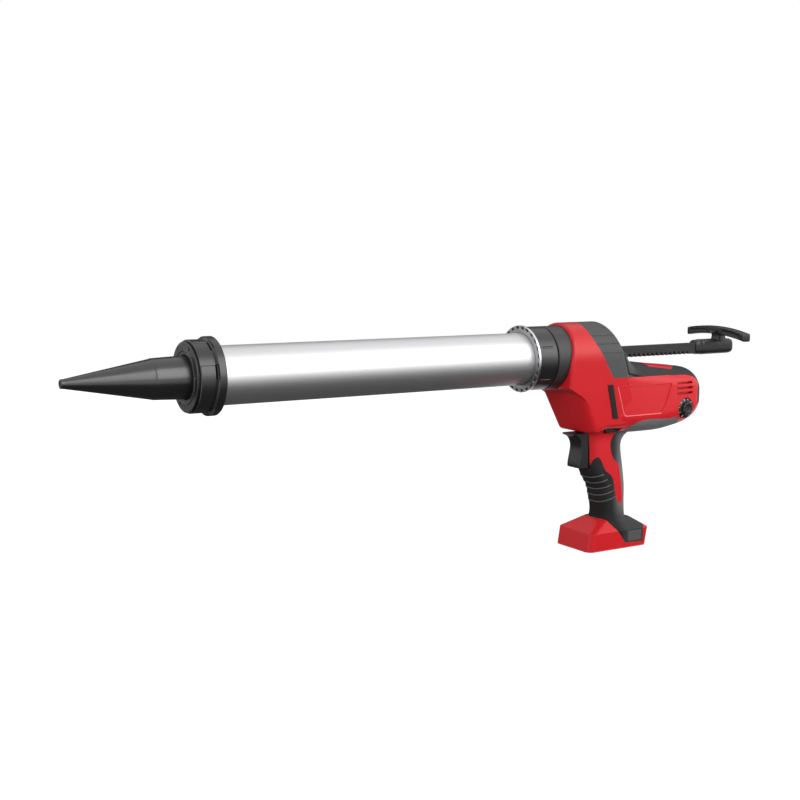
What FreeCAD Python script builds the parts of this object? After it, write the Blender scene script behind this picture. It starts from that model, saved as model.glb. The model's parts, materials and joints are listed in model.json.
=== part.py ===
import FreeCAD, Part
import math
import os

V = FreeCAD.Vector

# Cordless caulking tool, in millimetres.
# Every size below is given about the barrel's axis: X runs back from the notched ring at the
# barrel's rear, Y to the tool's right, Z up. The finished pieces are moved at the end so that
# the origin sits in the middle of the hand grip.
GRIP_X = 124.0
GRIP_Z = -140.0

# Fits
RUN = 0.05
SLIP = 0.02
PLAY = 0.35
SEAT = 0.3

# Barrel, cap and nozzle
BARREL_OD = 57.0
BARREL_WALL = 2.2
BARREL_FRONT = -379.0
BARREL_REAR = 26.0
CAP_WALL = 4.2
CAP_R = 35.0
CAP_LENGTH = 28.0
CAP_FLANGE_R = 37.6
CAP_FLANGE = 8.5
CAP_PAD = 0.7
NOZZLE_LENGTH = 123.5
NOZZLE_BASE_R = 20.7
NOZZLE_SHOULDER_R = 18.9
NOZZLE_CONE = 83.0
NOZZLE_TIP_R = 4.1
NOZZLE_BORE_R = 2.6
NOZZLE_BORE = 14.0
NOZZLE_FLANGE = 3.0
NOZZLE_WALL = 2.2

# Nose, lock collar and ring
NOSE_R = 35.0
RING_R = 36.6
RING_THICK = 2.6
RING_SLOTS = 24
RING_SLOT = 2.3
RING_RIM = 1.0
COLLAR_LENGTH = 24.5
COLLAR_LIP = 3.5
SPIGOT_WALL = 2.9
SEAM = 1.1
NOSE_WALL_X = 36.0

# Rack rod and plunger
RACK_W = 10.0
RACK_TOP = 8.0
RACK_TIP = -4.5
RACK_MODULE = 2.2
RACK_FRONT = -214.0
RACK_REAR = 300.0
RACK_TOOTH_FIRST = -160.0
RACK_TOOTH_LAST = 246.0
PLUNGER_THICK = 14.0
PLUNGER_GAP = 0.4

# Pull handle
PULL_FRONT = 257.0
PULL_REAR = 319.0
PULL_W = 15.4
PULL_LOW = -6.2
PULL_HIGH = 12.0
BAR_X = 299.0
BAR_HALF = 46.0
BAR_DEPTH = 13.0
BAR_THICK = 9.6
BAR_MID_Z = 22.0
BAR_DROOP = 5.0

# Gear train
PINION_X = 91.5
PINION_TEETH = 11
PINION_W = 12.0
GEAR_MODULE = 2.0
GEAR_TEETH = 22
COUNTER_TEETH = 14
GEAR_Y = 9.4
GEAR_W = 8.0
SHAFT_R = 5.0
BEARING_R = 10.0
BEARING_W = 6.0
BEVEL_MODULE = 1.25
BEVEL_PINION = 12
BEVEL_GEAR = 24
BEVEL_FACE = 0.34
BEVEL_ADD = 0.62
BEVEL_HUB_R = 5.8
PINION_SHAFT_R = 4.0
PLANET_MODULE = 0.8
SUN_TEETH = 12
PLANET_TEETH = 18
RING_TEETH = 48
PRESSURE = math.radians(25.0)
BACKLASH = 0.16
ROLLER_R = 5.0

# Gear frame
FRAME_HALF = 27.0
FRAME_WALL = 6.0
FRAME_REAR = 119.5
FRAME_TOP = 22.0
FRAME_LOW = -76.0
FRAME_GAP = 1.3

# Motor
CAN_R = 22.5
CAN_LENGTH = 64.0
CAN_WALL = 2.0
RINGGEAR_LENGTH = 18.0
PLATE = 3.0

# Housing
WALL = 3.2
SKIN = 1.5
HEAD_FRONT = 42.0
HEAD_R = 38.3
HEAD_BOTTOM = -81.0
HEAD_LEAN = math.radians(4.2)
HANDLE_HALF = 17.0
HANDLE_ROUND = 14.0
FOOT_FRONT = 80.0
FOOT_REAR = 163.5
FOOT_FLARE = 4.0
FOOT_HALF = 31.0
FOOT_BOTTOM = -221.0
FOOT_SIDE = 20.5
FOOT_ROOF = 11.5
FOOT_TOE = 3.5
FOOT_ROUND = 8.0

# Battery slot in the foot
SLOT_FRONT = 93.0
SLOT_HALF = 23.0
SLOT_MOUTH = 19.0
SLOT_LIP = 4.5
SLOT_DEPTH = 12.0

# Controls
TRIGGER_HALF = 10.5
TRIGGER_TOP = -87.4
TRIGGER_LOW = -127.5
TRIGGER_BACK = 90.0
TRIGGER_TRAVEL = 7.0
LOCK_X = 115.0
LOCK_LENGTH = 18.0
LOCK_Z = -85.0
LOCK_H = 5.4
LOCK_HALF = 21.0
LOCK_TRAVEL = 2.0
DIAL_X = 218.0
DIAL_Z = -65.0
DIAL_R = 11.8
DIAL_IN = -27.0
DIAL_OUT = -36.0
DIAL_NOTCHES = 30
SCREW_R = 1.6
SCREW_HEAD_R = 3.4

# Values that follow from the sizes
BARREL_R = BARREL_OD / 2.0
BORE_R = BARREL_R - BARREL_WALL
CAP_FACE = BARREL_FRONT - NOZZLE_FLANGE - 2.0 * SEAT - CAP_WALL
CAP_REAR = CAP_FACE + CAP_LENGTH
NOZZLE_SEAT = BARREL_FRONT - SEAT
NOZZLE_TIP = BARREL_FRONT - NOZZLE_LENGTH
NOZZLE_SHOULDER = NOZZLE_TIP + NOZZLE_CONE
COLLAR_FRONT = RING_THICK - 1.0
COLLAR_REAR = COLLAR_FRONT + COLLAR_LENGTH
NOSE_FRONT = COLLAR_REAR + SEAM
SPIGOT_IN = BARREL_R + 0.3
SPIGOT_R = SPIGOT_IN + SPIGOT_WALL
RACK_ADD = 0.8 * RACK_MODULE
RACK_DED = 1.0 * RACK_MODULE
PITCH_Z = RACK_TIP + RACK_ADD
RACK_PITCH = math.pi * RACK_MODULE
ROD_Z = (RACK_TOP + RACK_TIP) / 2.0
PINION_R = RACK_MODULE * PINION_TEETH / 2.0
DRIVE_Z = PITCH_Z - PINION_R
GEAR_R = GEAR_MODULE * GEAR_TEETH / 2.0
COUNTER_R = GEAR_MODULE * COUNTER_TEETH / 2.0
MOTOR_Z = DRIVE_Z - GEAR_R - COUNTER_R
BEVEL_PINION_R = BEVEL_MODULE * BEVEL_PINION / 2.0
BEVEL_GEAR_R = BEVEL_MODULE * BEVEL_GEAR / 2.0
PLANET_ORBIT = PLANET_MODULE * (SUN_TEETH + PLANET_TEETH) / 2.0
RINGGEAR_R = PLANET_MODULE * RING_TEETH / 2.0
CAN_FRONT = FRAME_REAR + RINGGEAR_LENGTH + PLATE
CAN_REAR = CAN_FRONT + CAN_LENGTH
ROLLER_Z = RACK_TOP + ROLLER_R + RUN
FRAME_IN = FRAME_HALF - FRAME_WALL
BUSH_R = math.hypot(RACK_W, RACK_TOP - RACK_TIP) / 2.0 + 1.0


# Solids on the axes

def box(x0, x1, y0, y1, z0, z1):
    return Part.makeBox(x1 - x0, y1 - y0, z1 - z0, V(x0, y0, z0))


def rod_x(r, x0, x1, y=0.0, z=0.0):
    return Part.makeCylinder(r, x1 - x0, V(x0, y, z), V(1, 0, 0))


def rod_y(r, y0, y1, x=0.0, z=0.0):
    return Part.makeCylinder(r, y1 - y0, V(x, y0, z), V(0, 1, 0))


def pipe_x(r_out, r_in, x0, x1, y=0.0, z=0.0):
    return rod_x(r_out, x0, x1, y, z).cut(rod_x(r_in, x0 - 1, x1 + 1, y, z))


def pipe_y(r_out, r_in, y0, y1, x=0.0, z=0.0):
    return rod_y(r_out, y0, y1, x, z).cut(rod_y(r_in, y0 - 1, y1 + 1, x, z))


def union(shapes):
    return shapes[0].multiFuse(shapes[1:]).removeSplitter()


def one_solid(shape):
    if shape.ShapeType != "Solid":
        shape = max(shape.Solids, key=lambda s: s.Volume)
    return shape


def turned(profile, z=0.0):
    # A closed outline of (x, radius) points spun about a line along X.
    pts = [V(x, 0, z + r) for x, r in profile]
    face = Part.Face(Part.makePolygon(pts + [pts[0]]))
    return one_solid(face.revolve(V(0, 0, z), V(1, 0, 0), 360))


def outline(runs, place):
    # A closed wire from runs of points: two points make a line, more make a smooth curve.
    edges = []
    for run in runs:
        pts = [place(a, b) for a, b in run]
        if len(pts) == 2:
            edges.append(Part.makeLine(pts[0], pts[1]))
        else:
            curve = Part.BSplineCurve()
            curve.interpolate(pts)
            edges.append(curve.toShape())
    return Part.Wire(edges)


def side_prism(runs, y0, y1):
    # An outline in the side view, carried across the tool from y0 to y1.
    wire = outline(runs, lambda x, z: V(x, y0, z))
    return one_solid(Part.Face(wire).extrude(V(0, y1 - y0, 0)))


def poly(points):
    return [[points[i], points[(i + 1) % len(points)]] for i in range(len(points))]


def rounded(u0, u1, v0, v1, r0, r1, place):
    # A rectangle with corner radius r0 on its low-v side and r1 on its high-v side.
    def arc(cu, cv, r, a):
        pts = []
        for step in (0, 45, 90):
            t = math.radians(a + step)
            pts.append(place(cu + r * math.cos(t), cv + r * math.sin(t)))
        return Part.Arc(pts[0], pts[1], pts[2]).toShape()

    corners = [
        arc(u1 - r0, v0 + r0, r0, 270),
        arc(u1 - r1, v1 - r1, r1, 0),
        arc(u0 + r1, v1 - r1, r1, 90),
        arc(u0 + r0, v0 + r0, r0, 180),
    ]
    edges = []
    for i, corner in enumerate(corners):
        edges.append(corner)
        a = corner.Vertexes[-1].Point
        b = corners[(i + 1) % 4].Vertexes[0].Point
        edges.append(Part.makeLine(a, b))
    return Part.Wire(edges)


def shrink(points, d):
    # Moves every side of a clockwise outline inward by d and joins the sides again.
    n = len(points)
    lines = []
    for i in range(n):
        (ax, az), (bx, bz) = points[i], points[(i + 1) % n]
        length = math.hypot(bx - ax, bz - az)
        ux, uz = (bx - ax) / length, (bz - az) / length
        lines.append((ax + uz * d, az - ux * d, ux, uz))
    out = []
    for i in range(n):
        ax, az, au, aw = lines[i - 1]
        bx, bz, bu, bw = lines[i]
        det = au * bw - aw * bu
        t = ((bx - ax) * bw - (bz - az) * bu) / det
        out.append((ax + t * au, az + t * aw))
    return out


# Outer form of the housing, at any depth i below the surface

HEAD_REAR_TOP = 105.0
FRONT_LEAN = 0.19
LEAN_FROM = -6.0
CHIN_ROUND = 9.0
CHIN_X = 78.5
CHIN_Z = -87.0
CHIN_BACK = 100.0
FLOOR_ROUND = 6.0
REAR_RIM = 5.0
FRONT_RIM = 3.0
HEAD_REAR_SLOPE = 0.38
HEAD_PROFILE = [
    (HEAD_FRONT + FRONT_LEAN * (HEAD_R + 8.0 - LEAN_FROM), HEAD_R + 8.0),
    (HEAD_REAR_TOP - 8.0 * HEAD_REAR_SLOPE, HEAD_R + 8.0),
    (HEAD_REAR_TOP + (HEAD_R - HEAD_BOTTOM) * HEAD_REAR_SLOPE, HEAD_BOTTOM),
    (CHIN_BACK, HEAD_BOTTOM - 0.5),
    (CHIN_X, CHIN_Z),
    (56.0, -40.0),
    (HEAD_FRONT, -32.0),
    (HEAD_FRONT, LEAN_FROM),
]
MOTOR_SECTIONS = [
    (108.0, 32.6, 5.0, -86.0, 20.0),
    (120.0, 33.9, -2.0, -88.0, 21.0),
    (138.0, 34.9, -7.0, -89.5, 22.0),
    (160.0, 34.5, -10.3, -90.0, 22.0),
    (190.0, 33.4, -13.9, -89.5, 22.0),
    (224.0, 31.5, -17.2, -84.5, 22.0),
    (238.0, 28.5, -21.5, -79.5, 20.0),
    (246.0, 24.5, -27.5, -73.5, 17.0),
    (250.5, 19.0, -35.0, -66.0, 12.0),
]
HANDLE_SECTIONS = [
    (-70.0, 86.0, 180.0, 23.0),
    (-80.0, 86.5, 166.0, 20.0),
    (-88.0, 87.5, 152.5, 18.0),
    (-95.0, 88.0, 143.0, 17.0),
    (-104.0, 88.5, 139.5, 17.0),
    (-118.0, 89.0, 141.0, 17.0),
    (-131.0, 91.0, 143.2, 17.0),
    (-147.0, 100.0, 145.5, 17.0),
    (-160.0, 104.8, 146.2, 17.0),
    (-175.0, 108.3, 146.2, 17.2),
    (-190.0, 108.0, 146.5, 18.5),
    (-200.0, 106.0, 148.0, 20.0),
]

REAR_DOME_X = 224.0


def head(i):
    profile = shrink(HEAD_PROFILE, i)
    slab = side_prism(poly(profile), -HEAD_R, HEAD_R)
    r = HEAD_R - i
    c, s = math.cos(HEAD_LEAN), math.sin(HEAD_LEAN)
    low = HEAD_BOTTOM - 10.0
    foot_y = r * c - (-r * s - low) * math.tan(HEAD_LEAN)

    def at(y, z):
        return V(HEAD_FRONT - 20.0, y, z)

    arc = Part.Arc(at(r * c, -r * s), at(0, r), at(-r * c, -r * s)).toShape()
    edges = [
        arc,
        Part.makeLine(at(-r * c, -r * s), at(-foot_y, low)),
        Part.makeLine(at(-foot_y, low), at(foot_y, low)),
        Part.makeLine(at(foot_y, low), at(r * c, -r * s)),
    ]
    arch = Part.Face(Part.Wire(edges)).extrude(V(HEAD_REAR_TOP + 100.0, 0, 0))
    form = one_solid(arch.common(slab))
    return rounded_head(form, i)


def on_plane(edge, point, normal):
    for vertex in edge.Vertexes:
        if abs((vertex.Point - point).dot(normal)) > 0.01:
            return False
    middle = edge.valueAt((edge.FirstParameter + edge.LastParameter) / 2.0)
    return abs((middle - point).dot(normal)) < 0.01


def rounded_head(form, i):
    # Rounds the front rim, the rear rim and the two front corners of the chin.
    slope = V(1, 0, HEAD_REAR_SLOPE).normalize()
    rear_point = V(HEAD_REAR_TOP, 0, HEAD_R) - slope * i
    (ax, az), (bx, bz) = shrink(HEAD_PROFILE, i)[4:6]
    chin_normal = V(bz - az, 0, ax - bx).normalize()
    chin = []
    for e in form.Edges:
        if on_plane(e, V(ax, 0, az), chin_normal) and e.BoundBox.YLength < 20.0:
            chin.append(e)
    form = form.makeFillet(CHIN_ROUND - i, chin)
    rear = [e for e in form.Edges if on_plane(e, rear_point, slope) and e.BoundBox.ZMax > 0.0]
    form = form.makeFillet(REAR_RIM - i * 0.8, rear)
    tilt = V(1, 0, -FRONT_LEAN).normalize()
    tilt_point = V(HEAD_FRONT, 0, LEAN_FROM) + tilt * i
    front_point = V(HEAD_FRONT + i, 0, 0)
    front = []
    for e in form.Edges:
        upper = on_plane(e, tilt_point, tilt)
        lower = on_plane(e, front_point, V(1, 0, 0))
        if (upper or lower) and not (upper and lower) and e.BoundBox.ZMax > -20.0:
            front.append(e)
    form = form.makeFillet(max(FRONT_RIM - i, 0.4), front)
    floor = []
    for e in form.Edges:
        on_chin = on_plane(e, V(ax, 0, az), chin_normal) and e.BoundBox.ZLength < 0.01
        at_side = e.BoundBox.ZMax < HEAD_BOTTOM + i + 0.01 and e.BoundBox.XMax < CHIN_BACK + 60.0
        if on_chin or (at_side and e.BoundBox.YLength < CHIN_ROUND):
            floor.append(e)
    return one_solid(form.makeFillet(FLOOR_ROUND - i, floor))


def motor_form(i):
    wires = []
    span = MOTOR_SECTIONS[-1][0] - REAR_DOME_X
    for x, half, top, low, r in MOTOR_SECTIONS:
        x = x - i * max(0.0, (x - REAR_DOME_X) / span)
        wires.append(rounded(-half + i, half - i, low + i, top - i, r - i, r - i, lambda y, z: V(x, y, z)))
    return one_solid(Part.makeLoft(wires, True, False))


def handle_form(i):
    wires = []
    for z, front, rear, half in HANDLE_SECTIONS:
        r = min(HANDLE_ROUND, half - 0.5) - i
        wires.append(rounded(front + i, rear - i, -half + i, half - i, r, r, lambda x, y: V(x, y, z)))
    return one_solid(Part.makeLoft(wires, True, False))


def foot_form(i):
    side_top = FOOT_BOTTOM + FOOT_SIDE
    roof = side_top + FOOT_ROOF
    r = FOOT_ROUND - i * 0.6
    y = FOOT_HALF - i
    base = rounded(FOOT_FRONT - FOOT_TOE + i, FOOT_REAR - i, -y, y, r, r, lambda a, b: V(a, b, FOOT_BOTTOM))
    rear = FOOT_REAR + FOOT_FLARE - i
    edge = rounded(FOOT_FRONT + i, rear, -y, y, r, r, lambda a, b: V(a, b, side_top - i * 0.4))
    crown = rounded(106.0 + i, 150.0 - i, -19.0 + i, 19.0 - i, r, r, lambda a, b: V(a, b, roof - i * 0.4))
    low = one_solid(Part.makeLoft([base, edge], True, True))
    high = one_solid(Part.makeLoft([edge, crown], True, True))
    return one_solid(low.fuse(high).removeSplitter())


def form(i):
    return one_solid(union([head(i), motor_form(i), handle_form(i), foot_form(i)]))


OUTER = form(0.0)
UNDER = form(SKIN)
HOLLOW = form(WALL)
SKIN_LAYER = OUTER.cut(UNDER)


# Soft covers let into the housing's surface

COVER_EDGE = [
    [(74.0, 55.0), (74.0, 38.0)],
    [(74.0, 38.0), (73.5, 29.0), (79.5, 13.5), (90.0, -4.6), (102.5, -23.5)],
    [(102.5, -23.5), (190.0, -24.8)],
    [(190.0, -24.8), (223.0, -26.6), (236.0, -31.0), (243.0, -38.0)],
    [(243.0, -38.0), (275.0, -38.0)],
    [(275.0, -38.0), (275.0, 55.0)],
    [(275.0, 55.0), (74.0, 55.0)],
]
INLAY = (160.0, 212.0, 9.0)
COVER_RIBS = [32.5, 24.0, 15.0, 5.0]
RIB_W = 0.9
RIB_DEEP = 0.6


def rod_hole():
    return rod_x(BUSH_R + SLIP, NOSE_WALL_X - 1.0, HEAD_REAR_TOP + 40.0, 0.0, ROD_Z)


def cover_blank():
    cover = SKIN_LAYER.common(side_prism(COVER_EDGE, -60.0, 60.0))
    x0, x1, half = INLAY
    return one_solid(cover.cut(box(x0, x1, -half, half, -40.0, 0.0)).cut(rod_hole()))


def top_cover(cover):
    ribs = []
    for z in COVER_RIBS:
        y = math.sqrt(HEAD_R ** 2 - z ** 2) - RIB_DEEP
        for side in (-1, 1):
            y0, y1 = sorted((side * y, side * (y + 20.0)))
            ribs.append(box(70.0, 140.0, y0, y1, z - RIB_W / 2.0, z + RIB_W / 2.0))
    for rib in ribs:
        cover = one_solid(cover.cut(rib))
    return cover


GRIP_EDGE = [
    [(70.0, -131.0), (88.0, -131.0)],
    [(88.0, -131.0), (91.5, -126.5), (93.5, -120.0), (99.0, -115.0)],
    [(99.0, -115.0), (104.0, -119.5), (110.5, -131.5), (118.5, -137.5), (123.0, -147.0), (130.0, -170.0)],
    [(130.0, -170.0), (134.0, -172.0), (136.5, -168.0)],
    [(136.5, -168.0), (133.5, -143.0), (129.0, -125.0)],
    [(129.0, -125.0), (122.5, -119.5), (117.5, -108.0), (117.5, -98.0), (121.5, -91.0), (129.0, -85.5)],
    [(129.0, -85.5), (142.0, -76.5), (171.0, -74.2), (203.0, -73.8)],
    [(203.0, -73.8), (215.0, -84.0)],
    [(215.0, -84.0), (215.0, -105.0)],
    [(215.0, -105.0), (172.0, -105.0)],
    [(172.0, -105.0), (172.0, -189.0)],
    [(172.0, -189.0), (157.0, -200.0)],
    [(157.0, -200.0), (156.5, -216.0)],
    [(156.5, -216.0), (130.0, -215.0)],
    [(130.0, -215.0), (119.5, -201.0), (111.0, -188.5)],
    [(111.0, -188.5), (70.0, -188.5)],
    [(70.0, -188.5), (70.0, -131.0)],
]
FINGER_RIBS = 5
FINGER_PITCH = 8.3
FINGER_FIRST = -139.0
FINGER_RISE = math.radians(17.0)
FOOT_PAD = (133.5, 154.0, -214.0, -202.0)


def grip_blank():
    return SKIN_LAYER.common(side_prism(GRIP_EDGE, -60.0, 60.0))


def grip_halves(grip):
    shallow = handle_form(RIB_DEEP)
    for n in range(FINGER_RIBS):
        z = FINGER_FIRST - n * FINGER_PITCH
        plate = box(-40.0, 112.0 - 92.0 + 4.0 * n, -40.0, 40.0, -RIB_W / 2.0, RIB_W / 2.0)
        plate.rotate(V(0, 0, 0), V(0, 1, 0), -math.degrees(FINGER_RISE))
        plate.translate(V(92.0, 0, z))
        grip = grip.cut(plate.cut(shallow))
    x0, x1, z0, z1 = FOOT_PAD
    for side in (-1, 1):
        y0, y1 = sorted((side * (FOOT_HALF - 0.8), side * (FOOT_HALF + 2.0)))
        grip = grip.cut(box(x0, x1, y0, y1, z0, z1))
    left = grip.common(box(0.0, 300.0, -80.0, 0.0, -300.0, 80.0))
    right = grip.common(box(0.0, 300.0, 0.0, 80.0, -300.0, 80.0))
    return left, right


def foot_pads():
    x0, x1, z0, z1 = FOOT_PAD
    pads = []
    for side in (-1, 1):
        y0, y1 = sorted((side * (FOOT_HALF - 0.8), side * (FOOT_HALF + 0.5)))
        pad = box(x0 + SLIP, x1 - SLIP, y0, y1, z0 + SLIP, z1 - SLIP)
        edges = [e for e in pad.Edges if abs(e.BoundBox.YMin - side * (FOOT_HALF + 0.5)) < 0.01
                 and abs(e.BoundBox.YMax - side * (FOOT_HALF + 0.5)) < 0.01]
        pads.append(pad.makeFillet(0.45, edges))
    return Part.makeCompound(pads)


STRIP = [(94.5, -30.5), (102.0, -30.5), (113.0, -70.0), (105.5, -70.0)]
STRIP_OUT = 0.6
STRIP_DEEP = 1.2


def side_strips():
    pieces = []
    proud = head(-STRIP_OUT)
    deep = head(STRIP_DEEP)
    for y0, y1 in ((-60.0, -20.0), (20.0, 60.0)):
        bar = side_prism(poly(STRIP), y0, y1)
        pieces.append(one_solid(bar.common(proud).cut(deep)))
    return Part.makeCompound(pieces)


GRILLE_X = 240.0
GRILLE_LOW = -62.0
GRILLE_HIGH = -38.0
GRILLE_SLOTS = 5


def grille():
    zone = box(GRILLE_X, 275.0, -60.0, 60.0, GRILLE_LOW, GRILLE_HIGH)
    piece = OUTER.cut(HOLLOW).common(zone)
    pitch = 6.4
    for n in range(GRILLE_SLOTS):
        y = (n - (GRILLE_SLOTS - 1) / 2.0) * pitch
        piece = piece.cut(box(240.0, 275.0, y - 1.5, y + 1.5, GRILLE_LOW + 4.0, GRILLE_HIGH - 4.0))
    return one_solid(piece)


# Housing halves

SCREWS = [
    (66.0, 29.0, 20.0),
    (134.0, -84.0, 19.0),
    (232.0, -48.0, 25.0),
    (136.0, -150.0, 12.0),
    (87.0, -210.0, 25.0),
]
BOSS_R = 4.2
HEAD_H = 2.2
SCREW_END = -12.0
PANEL = [(110.0, -34.0), (194.0, -34.0), (186.0, -56.0), (178.0, -68.0), (122.5, -68.0)]
PANEL_DEEP = 0.6
VENT_ROWS = [-35.0, -41.0, -47.0]
VENT_X = (203.0, 229.0)
VENT_H = 2.6
RIB_STATIONS = [156.0, 194.0]


def screw_holes():
    holes = []
    for x, z, y in SCREWS:
        holes.append(rod_y(SCREW_R + RUN, SCREW_END - 1.0, y, x, z))
        holes.append(rod_y(SCREW_HEAD_R + 0.2, y - HEAD_H, 60.0, x, z))
    return holes


def screws():
    pieces = []
    for x, z, y in SCREWS:
        shank = rod_y(SCREW_R, SCREW_END, y - HEAD_H, x, z)
        top = rod_y(SCREW_HEAD_R, y - HEAD_H, y, x, z)
        screw = shank.fuse(top).removeSplitter()
        slot_a = box(x - 1.9, x + 1.9, y - 1.3, y + 1.0, z - 0.5, z + 0.5)
        slot_b = box(x - 0.5, x + 0.5, y - 1.3, y + 1.0, z - 1.9, z + 1.9)
        pieces.append(one_solid(screw.cut(slot_a).cut(slot_b)))
    return Part.makeCompound(pieces)


def battery_slot():
    z = FOOT_BOTTOM
    mouth = box(SLOT_FRONT, FOOT_REAR + 5.0, -SLOT_MOUTH, SLOT_MOUTH, z - 1.0, z + SLOT_LIP)
    wide = box(SLOT_FRONT, FOOT_REAR + 5.0, -SLOT_HALF, SLOT_HALF, z + SLOT_LIP, z + SLOT_DEPTH)
    return mouth.fuse(wide).removeSplitter()


SWITCH = (98.0, 122.0, 9.0, -128.0, -98.0)
BLOCK = (101.0, 135.0, 15.0)
BLOCK_HIGH = 6.0


def housing_halves(covers):
    floor = FOOT_BOTTOM + SLOT_DEPTH + WALL
    hollow = HOLLOW.common(box(0.0, 300.0, -80.0, 80.0, floor, 80.0))
    shell = OUTER.cut(hollow)
    inner = []
    for x in RIB_STATIONS:
        slab = box(x, x + 3.0, -60.0, 60.0, -95.0, 5.0).common(OUTER)
        inner.append(slab.cut(rod_x(CAN_R + SLIP, x - 1.0, x + 4.0, 0.0, MOTOR_Z)))
    for x, z, y in SCREWS:
        inner.append(rod_y(BOSS_R, -60.0, 60.0, x, z).common(OUTER))
    x0, x1, half, z0, z1 = SWITCH
    for z in (z0 + 3.0, z1 - 6.0):
        for side in (-1, 1):
            y0, y1 = sorted((side * (half + SLIP), side * (HANDLE_HALF - 1.0)))
            inner.append(box(x0 + 4.0, x1 - 4.0, y0, y1, z, z + 3.0))
    pot_low = DIAL_Z - POT_HALF
    inner.append(box(DIAL_X - 6.0, DIAL_X + 6.0, -30.0, POT_IN, pot_low - 2.0, pot_low - SLIP))
    shell = union([shell] + inner)
    cuts = [battery_slot(), rod_hole(), rod_x(NOSE_R + SEAT, 20.0, NOSE_END + SEAT)]
    cuts.append(trigger_slot())
    cuts.append(lock_hole())
    cuts.append(rod_y(DIAL_R + PLAY + 0.1, -60.0, DIAL_IN + 0.6, DIAL_X, DIAL_Z))
    pot = POT_HALF + SLIP
    cuts.append(box(DIAL_X - pot, DIAL_X + pot, DIAL_IN, POT_IN + SLIP, DIAL_Z - pot, DIAL_Z + pot))
    bx0, bx1, bhalf = BLOCK
    cuts.append(box(bx0, bx1, -bhalf, bhalf, floor - WALL - 1.0, floor + 1.0))
    cuts += screw_holes()
    panel = side_prism(poly(PANEL), -60.0, 60.0)
    cuts.append(panel.cut(form(PANEL_DEEP)))
    for z in VENT_ROWS:
        cuts.append(box(VENT_X[0], VENT_X[1], -60.0, 60.0, z - VENT_H / 2.0, z + VENT_H / 2.0))
    shell = shell.cut(cuts + covers)
    left = one_solid(shell.common(box(0.0, 300.0, -80.0, 0.0, -300.0, 80.0)))
    right = one_solid(shell.common(box(0.0, 300.0, 0.0, 80.0, -300.0, 80.0)))
    return left, right


# Controls

TRIGGER_FRONT = [(68.5, -89.6), (73.8, -92.0), (78.3, -99.0), (77.6, -112.0), (75.4, -125.5)]
POT_HALF = 7.0
POT_IN = -18.5
STEM_R = 3.0


def trigger_slot():
    back = TRIGGER_BACK + TRIGGER_TRAVEL + 0.5
    return box(60.0, back, -TRIGGER_HALF - PLAY, TRIGGER_HALF + PLAY, TRIGGER_LOW - PLAY, TRIGGER_TOP + 1.0)


def trigger():
    first, last = TRIGGER_FRONT[0], TRIGGER_FRONT[-1]
    runs = [
        [(TRIGGER_BACK, TRIGGER_TOP), (first[0] + 0.5, TRIGGER_TOP)],
        [(first[0] + 0.5, TRIGGER_TOP), first],
        TRIGGER_FRONT,
        [last, (last[0] + 2.5, TRIGGER_LOW)],
        [(last[0] + 2.5, TRIGGER_LOW), (TRIGGER_BACK, TRIGGER_LOW)],
        [(TRIGGER_BACK, TRIGGER_LOW), (TRIGGER_BACK, TRIGGER_TOP)],
    ]
    body = side_prism(runs, -TRIGGER_HALF, TRIGGER_HALF)
    edges = []
    for e in body.Edges:
        box_ = e.BoundBox
        if box_.YLength < 0.01 and box_.ZLength > 30.0 and box_.XMin < TRIGGER_BACK - 2.0:
            edges.append(e)
    body = body.makeFillet(2.6, edges)
    stem = rod_x(STEM_R, TRIGGER_BACK - 2.0, SWITCH[0] + 2.0, 0.0, (SWITCH[3] + SWITCH[4]) / 2.0)
    return one_solid(body.fuse(stem).removeSplitter())


def switch_module():
    x0, x1, half, z0, z1 = SWITCH
    body = box(x0, x1, -half, half, z0, z1)
    hole = rod_x(STEM_R + RUN, x0 - 1.0, x0 + 2.0 + TRIGGER_TRAVEL + 1.5, 0.0, (z0 + z1) / 2.0)
    edges = [e for e in body.Edges if e.BoundBox.XLength > 10.0]
    return body.makeFillet(1.5, edges).cut(hole)


def lock_hole():
    return box(LOCK_X - LOCK_LENGTH / 2.0 - PLAY, LOCK_X + LOCK_LENGTH / 2.0 + PLAY, -60.0, 60.0,
               LOCK_Z - LOCK_H / 2.0 - PLAY, LOCK_Z + LOCK_H / 2.0 + PLAY)


def lock_button():
    half = LOCK_LENGTH / 2.0
    low = LOCK_Z - LOCK_H / 2.0
    bar = box(LOCK_X - half, LOCK_X + half, -LOCK_HALF, LOCK_HALF, low, low + LOCK_H)
    long_edges = [e for e in bar.Edges if e.BoundBox.YLength > 10.0]
    bar = bar.makeFillet(2.0, long_edges)
    ends = [e for e in bar.Edges if e.BoundBox.YLength < 0.01]
    return bar.makeFillet(0.9, ends)


def speed_dial():
    disc = rod_y(DIAL_R, DIAL_OUT, DIAL_IN, DIAL_X, DIAL_Z)
    rim = [e for e in disc.Edges if abs(e.BoundBox.YMax - DIAL_OUT) < 0.01]
    disc = disc.makeFillet(1.6, rim)
    for n in range(DIAL_NOTCHES):
        a = 2.0 * math.pi * n / DIAL_NOTCHES
        x = DIAL_X + (DIAL_R + 0.25) * math.cos(a)
        z = DIAL_Z + (DIAL_R + 0.25) * math.sin(a)
        disc = disc.cut(rod_y(0.7, DIAL_OUT - 1.0, DIAL_IN - 2.0, x, z))
    stem = rod_y(STEM_R, DIAL_IN - 1.0, DIAL_IN + 5.0, DIAL_X, DIAL_Z)
    return one_solid(disc.fuse(stem).removeSplitter())


def speed_pot():
    low = DIAL_Z - POT_HALF
    body = box(DIAL_X - POT_HALF, DIAL_X + POT_HALF, DIAL_IN + 0.6, POT_IN, low, low + 2.0 * POT_HALF)
    return body.cut(rod_y(STEM_R + RUN, DIAL_IN, DIAL_IN + 6.0, DIAL_X, DIAL_Z))


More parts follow.
